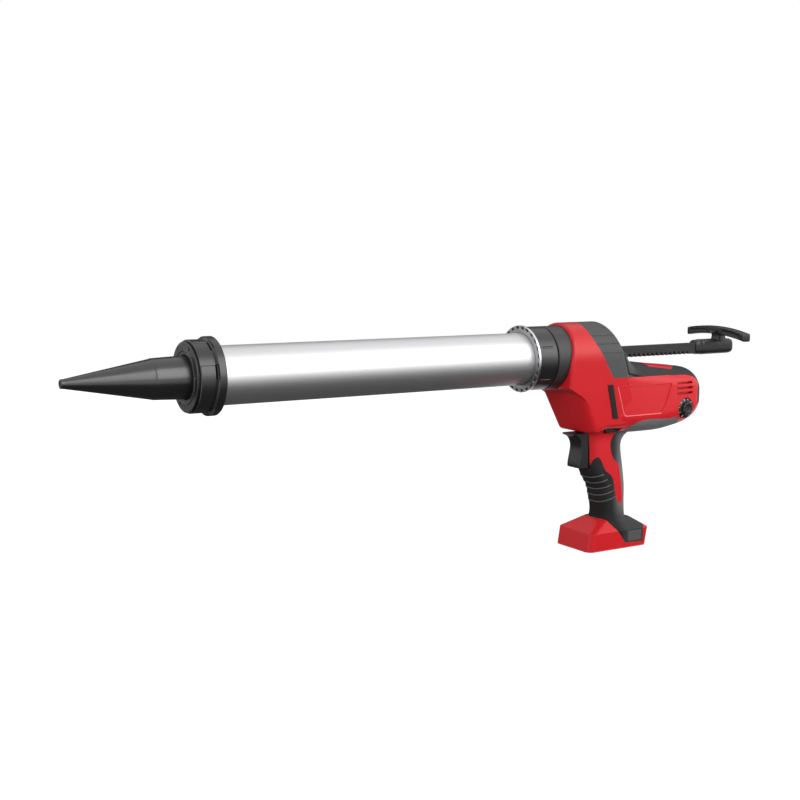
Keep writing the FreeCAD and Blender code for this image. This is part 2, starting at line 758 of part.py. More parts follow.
def control_board():
    x = SWITCH[1] + 0.2
    board = box(x, x + 1.6, -11.0, 11.0, -166.0, -101.0)
    chip = box(x + 1.6, x + 5.0, -6.0, 6.0, -160.0, -148.0)
    capacitor = box(x + 1.6, x + 8.0, -8.0, 0.0, -140.0, -126.0)
    return union([board, chip, capacitor])


BLADES = 4
BLADE_PITCH = 7.2
BLADE_DROP = 6.5


def blade_boxes(gap):
    z = FOOT_BOTTOM + SLOT_DEPTH
    out = []
    for n in range(BLADES):
        y = (n - (BLADES - 1) / 2.0) * BLADE_PITCH
        half = 0.4 + gap
        out.append(box(105.0 - gap, 127.0 + gap, y - half, y + half, z - BLADE_DROP, z + 5.0 + gap))
    return out


def terminal_block():
    x0, x1, half = BLOCK
    z = FOOT_BOTTOM + SLOT_DEPTH
    body = box(x0 + 0.2, x1 - 0.2, -half + 0.2, half - 0.2, z, z + WALL + BLOCK_HIGH)
    lip = box(x0 - 2.0, x1 + 2.0, -half - 1.5, half + 1.5, z + WALL + SLIP, z + WALL + 2.0)
    block = body.fuse(lip).removeSplitter()
    for b in blade_boxes(SLIP):
        block = block.cut(b)
    return one_solid(block)


# Barrel, cap, nozzle, nose

def barrel_tube():
    return pipe_x(BARREL_R, BORE_R, BARREL_FRONT, BARREL_REAR)


FLANGE_FRONT = COLLAR_FRONT + COLLAR_LIP + SEAT
FLANGE_THICK = 3.0


def barrel_flange():
    return pipe_x(SPIGOT_R - 0.3, BARREL_R + SLIP, FLANGE_FRONT, FLANGE_FRONT + FLANGE_THICK)


def barrel_ring():
    ring = pipe_x(RING_R, RING_R - 4.4, COLLAR_FRONT - RING_THICK, COLLAR_FRONT)
    for n in range(RING_SLOTS):
        front = COLLAR_FRONT - RING_THICK - 1.0
        slot = box(front, COLLAR_FRONT - 0.9, -2.4, 2.4, RING_R - RING_RIM - RING_SLOT, RING_R - RING_RIM)
        slot.rotate(V(0, 0, 0), V(1, 0, 0), 360.0 * (n + 0.5) / RING_SLOTS)
        ring = ring.cut(slot)
    return one_solid(ring)


COLLAR_GRIPS = 6
COLLAR_GRIP_TURN = 49.0


def lock_collar():
    lip = BARREL_R + 0.8
    bore = SPIGOT_R + PLAY
    r = NOSE_R
    body = turned([
        (COLLAR_FRONT, lip), (COLLAR_FRONT, r - 0.8), (COLLAR_FRONT + 0.8, r), (COLLAR_REAR - 0.8, r),
        (COLLAR_REAR, r - 0.8), (COLLAR_REAR, bore),
        (COLLAR_FRONT + COLLAR_LIP, bore), (COLLAR_FRONT + COLLAR_LIP, lip),
    ])
    for n in range(COLLAR_GRIPS):
        groove = box(COLLAR_FRONT + 3.0, COLLAR_REAR - 2.5, -0.6, 0.6, r - 0.7, r + 2.0)
        groove.rotate(V(0, 0, 0), V(1, 0, 0), 360.0 * n / COLLAR_GRIPS + COLLAR_GRIP_TURN)
        body = body.cut(groove)
    return one_solid(body)


CAP_PADS = 3
CAP_PAD_ARC = 70.0
CAP_PAD_TURN = 9.0
CAP_SLOT_TURNS = (29.5, 79.0)
CAP_NOTCHES = 6


def front_cap():
    bore = BARREL_R + PLAY
    hole = NOZZLE_BASE_R + 0.6
    r = CAP_R - CAP_PAD
    flange = CAP_REAR - CAP_FLANGE
    body = turned([
        (CAP_FACE, hole), (CAP_FACE, r - 1.4), (CAP_FACE + 1.4, r),
        (flange - 1.5, r), (flange, CAP_FLANGE_R - 0.6),
        (flange + 0.8, CAP_FLANGE_R), (CAP_REAR - 0.9, CAP_FLANGE_R), (CAP_REAR, CAP_FLANGE_R - 0.9),
        (CAP_REAR, bore), (CAP_FACE + CAP_WALL, bore), (CAP_FACE + CAP_WALL, hole),
    ])
    pads = []
    for n in range(CAP_PADS):
        pad = Part.makeCylinder(CAP_R, flange - 1.8 - CAP_FACE - 1.6, V(0, 0, 0), V(0, 0, 1), CAP_PAD_ARC)
        pad = pad.cut(Part.makeCylinder(r - 1.0, 60.0, V(0, 0, -10.0), V(0, 0, 1)))
        pad.rotate(V(0, 0, 0), V(0, 0, 1), 360.0 * n / CAP_PADS)
        pad.rotate(V(0, 0, 0), V(0, 1, 0), 90.0)
        pad.rotate(V(0, 0, 0), V(1, 0, 0), CAP_PAD_TURN)
        pad.translate(V(CAP_FACE + 1.6, 0, 0))
        pads.append(pad)
    body = one_solid(union([body] + pads))
    rim = pipe_x(hole + 5.0, hole + 3.4, CAP_FACE - 0.7, CAP_FACE + 0.5)
    body = one_solid(body.fuse(rim).removeSplitter())
    for n in range(CAP_PADS):
        for turn in CAP_SLOT_TURNS:
            slot = box(flange - 1.7, flange - 0.3, -5.5, 5.5, r - 0.9, r + 5.0)
            slot.rotate(V(0, 0, 0), V(1, 0, 0), 360.0 * n / CAP_PADS + turn)
            body = body.cut(slot)
    for n in range(CAP_NOTCHES):
        notch = box(CAP_FACE - 2.0, CAP_FACE + 1.0, -0.8, 0.8, hole + 5.6, hole + 9.6)
        notch.rotate(V(0, 0, 0), V(1, 0, 0), 360.0 * n / CAP_NOTCHES)
        body = body.cut(notch)
    return one_solid(body)


def nozzle():
    flange = BORE_R + 1.4
    front = NOZZLE_SEAT - NOZZLE_FLANGE
    neck = NOZZLE_BASE_R - 1.6
    rim = CAP_FACE - 3.0
    cut = NOZZLE_SHOULDER_R - NOZZLE_WALL
    wide = NOZZLE_BASE_R - 1.6 - NOZZLE_WALL
    bore = NOZZLE_TIP + NOZZLE_BORE
    return turned([
        (NOZZLE_SEAT, wide), (NOZZLE_SEAT, flange), (front, flange), (front, neck), (CAP_FACE + 0.4, neck),
        (rim, NOZZLE_BASE_R - 0.3), (rim - 1.0, NOZZLE_BASE_R),
        (NOZZLE_SHOULDER + 0.8, NOZZLE_SHOULDER_R + 0.1), (NOZZLE_SHOULDER - 0.8, NOZZLE_SHOULDER_R - 0.2),
        (NOZZLE_TIP + 0.4, NOZZLE_TIP_R), (NOZZLE_TIP, NOZZLE_TIP_R - 0.4),
        (NOZZLE_TIP, NOZZLE_BORE_R), (bore, NOZZLE_BORE_R), (NOZZLE_SHOULDER + 1.0, cut), (rim, wide),
    ])


NOSE_END = 54.0


def frame_zone(gap):
    return side_prism(poly(shrink(HEAD_PROFILE, WALL + gap)), -60.0, 60.0)


def frame_outer(x0, y0, y1):
    block = box(x0, FRAME_REAR, y0, y1, FRAME_LOW, FRAME_TOP)
    return one_solid(block.common(frame_zone(FRAME_GAP)))


def frame_hollow():
    low, high = FRAME_LOW + 3.0, FRAME_TOP - 3.0
    upper = box(NOSE_END + 3.0, FRAME_REAR - 3.4, -FRAME_IN, FRAME_HALF + 1.0, low, high)
    wall_top = MOTOR_Z + BEARING_R + 1.0
    low_wall = box(FRAME_REAR - BEARING_W, FRAME_REAR, -60.0, 60.0, FRAME_LOW - 1.0, wall_top)
    room = upper.common(frame_zone(FRAME_GAP + 3.0)).cut(low_wall)
    return one_solid(room)


def shaft_holes():
    return [
        rod_y(BEARING_R + SLIP, -60.0, 60.0, PINION_X, DRIVE_Z),
        rod_y(BEARING_R + SLIP, -60.0, 60.0, PINION_X, MOTOR_Z),
        rod_y(2.0 + SLIP, -60.0, 60.0, PINION_X, ROLLER_Z),
    ]


def nose_frame():
    spigot = FLANGE_FRONT + FLANGE_THICK + SLIP
    nose = turned([
        (spigot, SPIGOT_IN), (spigot, SPIGOT_R), (NOSE_FRONT, SPIGOT_R), (NOSE_FRONT, NOSE_R - 0.8),
        (NOSE_FRONT + 0.8, NOSE_R), (NOSE_END, NOSE_R), (NOSE_END, 0.0),
        (NOSE_WALL_X, 0.0), (NOSE_WALL_X, SPIGOT_IN),
    ])
    case = frame_outer(NOSE_END - 1.0, -FRAME_HALF, FRAME_IN)
    body = one_solid(nose.fuse(case).removeSplitter())
    body = body.cut(frame_hollow())
    for hole in shaft_holes() + [rod_hole()]:
        body = body.cut(hole)
    body = body.cut(rod_x(BEARING_R + SLIP, FRAME_REAR - BEARING_W - 1.0, FRAME_REAR + 1.0, 0.0, MOTOR_Z))
    return one_solid(body)


def frame_cover():
    plate = frame_outer(NOSE_END + SLIP, FRAME_IN + SLIP, FRAME_HALF)
    for hole in shaft_holes():
        plate = plate.cut(hole)
    return one_solid(plate)


# Rack rod, plunger and pull handle

def rack_rod():
    gap_top = PITCH_Z + RACK_DED
    lean = math.tan(PRESSURE)
    half = RACK_PITCH / 4.0 + BACKLASH / 2.0
    points = [(RACK_REAR, RACK_TIP), (RACK_REAR, RACK_TOP), (RACK_FRONT, RACK_TOP), (RACK_FRONT, RACK_TIP)]
    first = math.ceil((RACK_TOOTH_FIRST - PINION_X) / RACK_PITCH)
    last = math.floor((RACK_TOOTH_LAST - PINION_X) / RACK_PITCH)
    for n in range(first, last + 1):
        x = PINION_X + n * RACK_PITCH
        points.append((x - half - RACK_ADD * lean, RACK_TIP))
        points.append((x - half + RACK_DED * lean, gap_top))
        points.append((x + half - RACK_DED * lean, gap_top))
        points.append((x + half + RACK_ADD * lean, RACK_TIP))
    rod = side_prism(poly(points), -RACK_W / 2.0, RACK_W / 2.0)
    rod = rod.cut(rod_x(PLUNGER_SCREW_R + SLIP, RACK_FRONT - 1.0, RACK_FRONT + 13.0, 0.0, ROD_Z))
    return one_solid(rod.cut(rod_y(PIN_R + SLIP, -20.0, 20.0, PIN_X, ROD_Z)))


PLUNGER_SCREW_R = 2.5
PIN_R = 1.6
PIN_X = 279.0


def plunger():
    r = BORE_R - PLUNGER_GAP
    front = RACK_FRONT - PLUNGER_THICK
    disc = turned([
        (front, 0.0), (front + 2.5, r - 9.0), (front, r - 4.0),
        (front + 1.0, r), (front + 4.5, r), (front + 4.5, r - 3.0),
        (front + 8.5, r - 3.0), (front + 8.5, r), (RACK_FRONT - 2.0, r), (RACK_FRONT - 1.0, r - 1.0),
        (RACK_FRONT - 1.0, r - 3.5), (RACK_FRONT - 5.0, r - 5.0),
        (RACK_FRONT - 5.0, 11.0), (RACK_FRONT, 11.0), (RACK_FRONT, 0.0),
    ])
    disc = disc.cut(rod_x(PLUNGER_SCREW_R + SLIP, front - 1.0, RACK_FRONT + 1.0, 0.0, ROD_Z))
    return one_solid(disc.cut(rod_x(4.6, front - 1.0, front + 6.0, 0.0, ROD_Z)))


def plunger_seal():
    front = RACK_FRONT - PLUNGER_THICK
    r = BORE_R - PLUNGER_GAP
    return pipe_x(BORE_R - 0.1, r - 3.0 + SLIP, front + 4.5 + SLIP, front + 8.5 - SLIP)


def plunger_screw():
    front = RACK_FRONT - PLUNGER_THICK
    head_ = rod_x(4.4, front + 1.5, front + 6.0, 0.0, ROD_Z)
    shank = rod_x(PLUNGER_SCREW_R, front + 6.0, RACK_FRONT + 12.0, 0.0, ROD_Z)
    socket = Part.makeCylinder(2.2, 3.0, V(front + 0.5, 0, ROD_Z), V(1, 0, 0))
    return one_solid(head_.fuse(shank).removeSplitter().cut(socket))


def pull_handle():
    half = PULL_W / 2.0
    wire = rounded(-half, half, PULL_LOW, PULL_HIGH, 5.5, 5.5, lambda y, z: V(PULL_FRONT, y, z))
    sleeve = one_solid(Part.Face(wire).extrude(V(PULL_REAR - PULL_FRONT, 0, 0)))
    rear = [e for e in sleeve.Edges if abs(e.BoundBox.XMin - PULL_REAR) < 0.01]
    sleeve = sleeve.makeFillet(5.0, rear)
    front = [e for e in sleeve.Edges if abs(e.BoundBox.XMax - PULL_FRONT) < 0.01]
    sleeve = sleeve.makeChamfer(1.6, front)
    t = BAR_THICK / 2.0
    reach = BAR_HALF
    big = (reach ** 2 + BAR_DROOP ** 2) / (2.0 * BAR_DROOP)
    centre = BAR_MID_Z - big
    tilt = math.asin(reach / big)
    x = BAR_X - BAR_DEPTH / 2.0

    def at(r, a):
        return V(x, r * math.sin(a), centre + r * math.cos(a))

    edges = [
        Part.Arc(at(big + t, -tilt), at(big + t, 0), at(big + t, tilt)).toShape(),
        Part.makeLine(at(big + t, tilt), at(big - t, tilt)),
        Part.Arc(at(big - t, tilt), at(big - t, 0), at(big - t, -tilt)).toShape(),
        Part.makeLine(at(big - t, -tilt), at(big + t, -tilt)),
    ]
    bar = one_solid(Part.Face(Part.Wire(edges)).extrude(V(BAR_DEPTH, 0, 0)))
    corners = [e for e in bar.Edges if e.BoundBox.XLength > 5.0]
    bar = bar.makeFillet(3.2, corners)
    rims = [e for e in bar.Edges if e.BoundBox.XLength < 0.01]
    bar = bar.makeFillet(2.8, rims)
    stem = box(BAR_X - 6.5, BAR_X + 6.5, -6.0, 6.0, PULL_HIGH - 6.0, BAR_MID_Z)
    upright = [e for e in stem.Edges if e.BoundBox.ZLength > 5.0]
    stem = stem.makeFillet(3.0, upright)
    body = one_solid(union([sleeve, stem, bar]))
    pocket = box(PULL_FRONT - 1.0, RACK_REAR + 0.2, -RACK_W / 2.0 - SLIP, RACK_W / 2.0 + SLIP,
                 RACK_TIP - SLIP, RACK_TOP + SLIP)
    body = body.cut(pocket)
    return one_solid(body.cut(rod_y(PIN_R + SLIP, -20.0, 20.0, PIN_X, ROD_Z)))


def handle_pin():
    return rod_y(PIN_R, -PULL_W / 2.0 + 0.3, PULL_W / 2.0 - 0.3, PIN_X, ROD_Z)


def rod_bush(x0, x1):
    ring = rod_x(BUSH_R, x0, x1, 0.0, ROD_Z)
    hole = box(x0 - 1.0, x1 + 1.0, -RACK_W / 2.0 - RUN, RACK_W / 2.0 + RUN, RACK_TIP - RUN, RACK_TOP + RUN)
    return one_solid(ring.cut(hole))


# Gears

def involute(a):
    return math.tan(a) - a


def gear_points(teeth, module, add, ded, slack, phase):
    # Points of a spur outline: half tooth angle at radius r is half + inv(PRESSURE) - inv(acos(base / r)).
    r = module * teeth / 2.0
    base = r * math.cos(PRESSURE)
    half = math.pi / (2.0 * teeth) - slack / (2.0 * r)
    tip = r + add * module
    root = r - ded * module
    start = max(base, root)
    flank = []
    for k in range(5):
        rho = start + (tip - start) * k / 4.0
        flank.append((rho, half + involute(PRESSURE) - involute(math.acos(min(1.0, base / rho)))))
    if root < base:
        flank.insert(0, (root, flank[0][1]))
    points = []
    for n in range(teeth):
        mid = phase + 2.0 * math.pi * n / teeth
        for rho, a in flank:
            points.append((rho * math.cos(mid - a), rho * math.sin(mid - a)))
        for rho, a in reversed(flank):
            points.append((rho * math.cos(mid + a), rho * math.sin(mid + a)))
    return points


def wire_of(points, place):
    pts = [place(u, v) for u, v in points]
    return Part.makePolygon(pts + [pts[0]])


def gear_y(teeth, module, phase, y0, y1, x, z):
    wire = wire_of(gear_points(teeth, module, 0.8, 1.0, BACKLASH, phase), lambda u, v: V(x + u, y0, z + v))
    return one_solid(Part.Face(wire).extrude(V(0, y1 - y0, 0)))


def gear_x(teeth, module, phase, x0, x1, y, z):
    wire = wire_of(gear_points(teeth, module, 0.8, 1.0, BACKLASH, phase), lambda u, v: V(x0, y + u, z + v))
    return one_solid(Part.Face(wire).extrude(V(x1 - x0, 0, 0)))


UP = math.pi / 2.0
GEAR_END = GEAR_Y + GEAR_W


def rack_pinion():
    gear = gear_y(PINION_TEETH, RACK_MODULE, UP, -PINION_W / 2.0, PINION_W / 2.0, PINION_X, DRIVE_Z)
    return gear.cut(rod_y(SHAFT_R + SLIP, -60.0, 60.0, PINION_X, DRIVE_Z))


def drive_gear():
    phase = -UP + math.pi / GEAR_TEETH
    gear = gear_y(GEAR_TEETH, GEAR_MODULE, phase, GEAR_Y, GEAR_END, PINION_X, DRIVE_Z)
    gear = gear.cut(rod_y(SHAFT_R + SLIP, -60.0, 60.0, PINION_X, DRIVE_Z))
    for n in range(6):
        a = n * math.pi / 3.0
        x = PINION_X + 13.0 * math.cos(a)
        z = DRIVE_Z + 13.0 * math.sin(a)
        gear = gear.cut(rod_y(3.6, GEAR_Y - 1.0, GEAR_END + 1.0, x, z))
    return one_solid(gear)


def counter_pinion():
    gear = gear_y(COUNTER_TEETH, GEAR_MODULE, UP, GEAR_Y, GEAR_END, PINION_X, MOTOR_Z)
    return gear.cut(rod_y(SHAFT_R + SLIP, -60.0, 60.0, PINION_X, MOTOR_Z))


def cross_shaft(z):
    return rod_y(SHAFT_R, -FRAME_HALF, FRAME_HALF, PINION_X, z)


def cross_bearings(z):
    pair = []
    for y0 in (-FRAME_HALF, FRAME_IN):
        pair.append(pipe_y(BEARING_R, SHAFT_R + RUN, y0 + SLIP, y0 + BEARING_W, PINION_X, z))
    return Part.makeCompound(pair)


def clutch_ring():
    ring = pipe_y(11.0, SHAFT_R + SLIP, -FRAME_IN + 0.4, CLUTCH_END, PINION_X, MOTOR_Z)
    for n in range(12):
        a = 2.0 * math.pi * n / 12.0
        ring = ring.cut(rod_y(1.4, -30.0, 0.0, PINION_X + 11.4 * math.cos(a), MOTOR_Z + 11.4 * math.sin(a)))
    return one_solid(ring)


CLUTCH_END = -16.2
BEVEL_BACK = -15.7


def bevel_points(teeth, mate, phase):
    # A straight bevel outline on the plane of its large pitch circle, from the spur on the back cone.
    r = BEVEL_MODULE * teeth / 2.0
    depth = BEVEL_MODULE * mate / 2.0
    cone = math.hypot(r, depth)
    lean = math.atan2(r, depth)
    virtual = r / math.cos(lean)
    count = teeth / math.cos(lean)
    base = virtual * math.cos(PRESSURE)
    half = math.pi / (2.0 * count) - BACKLASH / virtual
    add, ded = BEVEL_ADD * BEVEL_MODULE, 1.0 * BEVEL_MODULE
    start = max(base, virtual - ded)
    flank = []
    for k in range(5):
        rho = start + (virtual + add - start) * k / 4.0
        flank.append((rho, half + involute(PRESSURE) - involute(math.acos(min(1.0, base / rho)))))
    if virtual - ded < base:
        flank.insert(0, (virtual - ded, flank[0][1]))
    spots = []
    for rho, a in flank:
        radius = depth * math.tan(lean + (rho - virtual) / cone)
        spots.append((radius, rho * a / (r + (rho - virtual) * math.cos(lean))))
    points = []
    for n in range(teeth):
        mid = phase + 2.0 * math.pi * n / teeth
        for radius, a in spots:
            points.append((radius * math.cos(mid - a), radius * math.sin(mid - a)))
        for radius, a in reversed(spots):
            points.append((radius * math.cos(mid + a), radius * math.sin(mid + a)))
    return points


def bevel_pinion():
    points = bevel_points(BEVEL_PINION, BEVEL_GEAR, math.pi)
    k = 1.0 - BEVEL_FACE
    big = wire_of(points, lambda u, v: V(PINION_X + BEVEL_GEAR_R, u, MOTOR_Z + v))
    small = wire_of(points, lambda u, v: V(PINION_X + BEVEL_GEAR_R * k, u * k, MOTOR_Z + v * k))
    teeth = one_solid(Part.makeLoft([big, small], True, True))
    hub = rod_x(BEVEL_HUB_R, PINION_X + BEVEL_GEAR_R, FRAME_REAR - BEARING_W - 0.4, 0.0, MOTOR_Z)
    shaft = rod_x(PINION_SHAFT_R, PINION_X + BEVEL_GEAR_R, FRAME_REAR + 4.0, 0.0, MOTOR_Z)
    return one_solid(union([teeth, hub, shaft]))


def pinion_bearing():
    return pipe_x(BEARING_R, PINION_SHAFT_R + RUN, FRAME_REAR - BEARING_W, FRAME_REAR, 0.0, MOTOR_Z)


def bevel_gear():
    points = bevel_points(BEVEL_GEAR, BEVEL_PINION, math.pi / BEVEL_GEAR)
    k = 1.0 - BEVEL_FACE
    big = wire_of(points, lambda u, v: V(PINION_X + u, -BEVEL_PINION_R, MOTOR_Z + v))
    small = wire_of(points, lambda u, v: V(PINION_X + u * k, -BEVEL_PINION_R * k, MOTOR_Z + v * k))
    teeth = one_solid(Part.makeLoft([big, small], True, True))
    hub = rod_y(11.0, BEVEL_BACK, -BEVEL_PINION_R, PINION_X, MOTOR_Z)
    gear = one_solid(teeth.fuse(hub).removeSplitter())
    return one_solid(gear.cut(rod_y(SHAFT_R + RUN, -60.0, 60.0, PINION_X, MOTOR_Z)))


# Planet stage and motor

PLANET_FRONT = FRAME_REAR + 4.6
PLANET_LONG = 8.0
PLANET_PIN_R = 2.0


def spots_around(n):
    a = 2.0 * math.pi * n / 3.0
    return PLANET_ORBIT * math.cos(a), MOTOR_Z + PLANET_ORBIT * math.sin(a)


def planet_carrier():
    bore = PINION_SHAFT_R + SLIP
    plate = pipe_x(PLANET_ORBIT + 3.6, bore, FRAME_REAR + 0.6, PLANET_FRONT - 0.4, 0.0, MOTOR_Z)
    pins = []
    for n in range(3):
        y, z = spots_around(n)
        pins.append(rod_x(PLANET_PIN_R, FRAME_REAR + 1.0, PLANET_FRONT + PLANET_LONG, y, z))
    return one_solid(union([plate] + pins))


def planet_gear(n):
    phase = math.pi / PLANET_TEETH
    rear = PLANET_FRONT + PLANET_LONG
    gear = gear_x(PLANET_TEETH, PLANET_MODULE, phase, PLANET_FRONT, rear, PLANET_ORBIT, MOTOR_Z)
    gear = gear.cut(rod_x(PLANET_PIN_R + RUN, 0.0, 300.0, PLANET_ORBIT, MOTOR_Z))
    gear.rotate(V(0, 0, MOTOR_Z), V(1, 0, 0), 120.0 * n)
    return one_solid(gear)


def ring_gear():
    x1 = FRAME_REAR + RINGGEAR_LENGTH
    body = rod_x(RINGGEAR_R + 4.0, FRAME_REAR, x1, 0.0, MOTOR_Z)
    points = gear_points(RING_TEETH, PLANET_MODULE, 1.0, 0.8, -BACKLASH, math.pi / RING_TEETH)
    wire = wire_of(points, lambda u, v: V(FRAME_REAR - 1.0, u, MOTOR_Z + v))
    hole = one_solid(Part.Face(wire).extrude(V(RINGGEAR_LENGTH + 2.0, 0, 0)))
    return one_solid(body.cut(hole))


MOTOR_SHAFT_R = 2.5


def sun_gear():
    back = PLANET_FRONT + PLANET_LONG + 0.5
    gear = gear_x(SUN_TEETH, PLANET_MODULE, 0.0, PLANET_FRONT, back, 0.0, MOTOR_Z)
    return one_solid(gear.cut(rod_x(MOTOR_SHAFT_R + SLIP, 0.0, 300.0, 0.0, MOTOR_Z)))


def motor_plate():
    x0 = FRAME_REAR + RINGGEAR_LENGTH
    return pipe_x(CAN_R, MOTOR_SHAFT_R + RUN, x0, x0 + PLATE, 0.0, MOTOR_Z)


def motor_can():
    can = rod_x(CAN_R, CAN_FRONT, CAN_REAR, 0.0, MOTOR_Z)
    can = can.cut(rod_x(CAN_R - CAN_WALL, CAN_FRONT + CAN_WALL, CAN_REAR - CAN_WALL, 0.0, MOTOR_Z))
    return one_solid(can.cut(rod_x(MOTOR_SHAFT_R + RUN, 0.0, 300.0, 0.0, MOTOR_Z)))


MAGNET_IN = 16.6


def motor_magnets():
    ring = pipe_x(CAN_R - CAN_WALL - SLIP, MAGNET_IN, CAN_FRONT + 8.0, CAN_REAR - 14.0, 0.0, MOTOR_Z)
    split = box(0.0, 300.0, -40.0, 40.0, MOTOR_Z - 5.0, MOTOR_Z + 5.0)
    return Part.makeCompound(ring.cut(split).Solids)


def armature():
    shaft = rod_x(MOTOR_SHAFT_R, PLANET_FRONT, CAN_REAR + 11.0, 0.0, MOTOR_Z)
    core = rod_x(MAGNET_IN - 0.6, CAN_FRONT + 9.0, CAN_REAR - 15.0, 0.0, MOTOR_Z)
    for n in range(8):
        a = 2.0 * math.pi * n / 8.0
        y, z = (MAGNET_IN - 1.0) * math.cos(a), MOTOR_Z + (MAGNET_IN - 1.0) * math.sin(a)
        core = core.cut(rod_x(1.6, CAN_FRONT, CAN_REAR, y, z))
    commutator = rod_x(7.0, CAN_REAR - 13.0, CAN_REAR - 4.0, 0.0, MOTOR_Z)
    return one_solid(union([shaft, core, commutator]))


FAN_BLADES = 9
FAN_R = 19.0


def cooling_fan():
    x0 = CAN_REAR + 1.2
    hub = rod_x(7.0, x0, x0 + 8.0, 0.0, MOTOR_Z)
    disc = rod_x(FAN_R, x0, x0 + 1.4, 0.0, MOTOR_Z)
    parts = [hub, disc]
    for n in range(FAN_BLADES):
        blade = box(x0 + 1.0, x0 + 8.0, -0.6, 0.6, 6.0, FAN_R - 0.5)
        blade.rotate(V(0, 0, 0), V(1, 0, 0), 360.0 * n / FAN_BLADES)
        blade.translate(V(0, 0, MOTOR_Z))
        parts.append(blade)
    fan = one_solid(union(parts))
    return one_solid(fan.cut(rod_x(MOTOR_SHAFT_R + SLIP, 0.0, 300.0, 0.0, MOTOR_Z)))


def backup_roller():
    return pipe_y(ROLLER_R, 2.0 + RUN, -RACK_W / 2.0, RACK_W / 2.0, PINION_X, ROLLER_Z)


def roller_pin():
    return rod_y(2.0, -FRAME_HALF, FRAME_HALF, PINION_X, ROLLER_Z)


# All pieces, moved to the grip's frame and written out

COVER_BLANK = cover_blank()
GRIP_BLANK = grip_blank()
COVER = top_cover(COVER_BLANK)
GRIP_LEFT, GRIP_RIGHT = grip_halves(GRIP_BLANK)
STRIPS = side_strips()
GRILLE = grille()
LEFT, RIGHT = housing_halves([COVER_BLANK, GRIP_BLANK, STRIPS, GRILLE])


def trimmed(shape):
    # Clears the soft grip of the screw pockets, the lock button and the trigger.
    for hole in screw_holes() + [lock_hole(), trigger_slot()]:
        shape = shape.cut(hole)
    return Part.makeCompound([s for s in shape.Solids if s.Volume > 5.0])


PIECES = {
    "housing_left": LEFT,
    "housing_right": RIGHT,
    "top_cover": COVER,
    "grip_left": trimmed(GRIP_LEFT),
    "grip_right": trimmed(GRIP_RIGHT),
    "foot_pads": foot_pads(),
    "side_strips": STRIPS,
    "rear_grille": GRILLE,
    "housing_screws": screws(),
    "nose_frame": nose_frame(),
    "frame_cover": frame_cover(),
    "lock_collar": lock_collar(),
    "barrel_ring": barrel_ring(),
    "barrel_tube": barrel_tube(),
    "barrel_flange": barrel_flange(),
    "front_cap": front_cap(),
    "nozzle": nozzle(),
    "rack_rod": rack_rod(),
    "plunger": plunger(),
    "plunger_seal": plunger_seal(),
    "plunger_screw": plunger_screw(),
    "pull_handle": pull_handle(),
    "handle_pin": handle_pin(),
    "front_bush": rod_bush(NOSE_WALL_X, NOSE_END + 2.8),
    "rear_bush": rod_bush(HEAD_REAR_TOP + 4.0, HEAD_REAR_TOP + 16.5),
    "rack_pinion": rack_pinion(),
    "drive_gear": drive_gear(),
    "drive_shaft": cross_shaft(DRIVE_Z),
    "drive_bearings": cross_bearings(DRIVE_Z),
    "counter_pinion": counter_pinion(),
    "counter_shaft": cross_shaft(MOTOR_Z),
    "counter_bearings": cross_bearings(MOTOR_Z),
    "clutch_ring": clutch_ring(),
    "bevel_gear": bevel_gear(),
    "bevel_pinion": bevel_pinion(),
    "pinion_bearing": pinion_bearing(),
    "planet_carrier": planet_carrier(),
    "planet_gear_1": planet_gear(0),
    "planet_gear_2": planet_gear(1),
    "planet_gear_3": planet_gear(2),
    "ring_gear": ring_gear(),
    "sun_gear": sun_gear(),
    "motor_plate": motor_plate(),
    "motor_can": motor_can(),
    "motor_magnets": motor_magnets(),
    "armature": armature(),
    "cooling_fan": cooling_fan(),
    "backup_roller": backup_roller(),
    "roller_pin": roller_pin(),
    "trigger": trigger(),
    "switch_module": switch_module(),
    "lock_button": lock_button(),
    "speed_dial": speed_dial(),
    "speed_pot": speed_pot(),
    "control_board": control_board(),
    "terminal_block": terminal_block(),
    "terminal_blades": Part.makeCompound(blade_boxes(0.0)),
}

os.makedirs("parts", exist_ok=True)
for name, shape in PIECES.items():
    shape = shape.copy()
    shape.translate(V(-GRIP_X, 0, -GRIP_Z))
    shape.exportStep("parts/" + name + ".step")
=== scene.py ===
# %% [markdown]
# Cordless caulking tool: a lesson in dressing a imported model.
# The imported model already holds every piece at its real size. This script gives each one its finish,
# adds the surfaces that deserve a finer mesh, and sets up a small studio around the tool.
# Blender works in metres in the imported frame: +X runs from the nozzle back to the pull handle, -Y is
# the tool's left side and +Z is up. Shapes are worked out in millimetres and scaled when meshed.

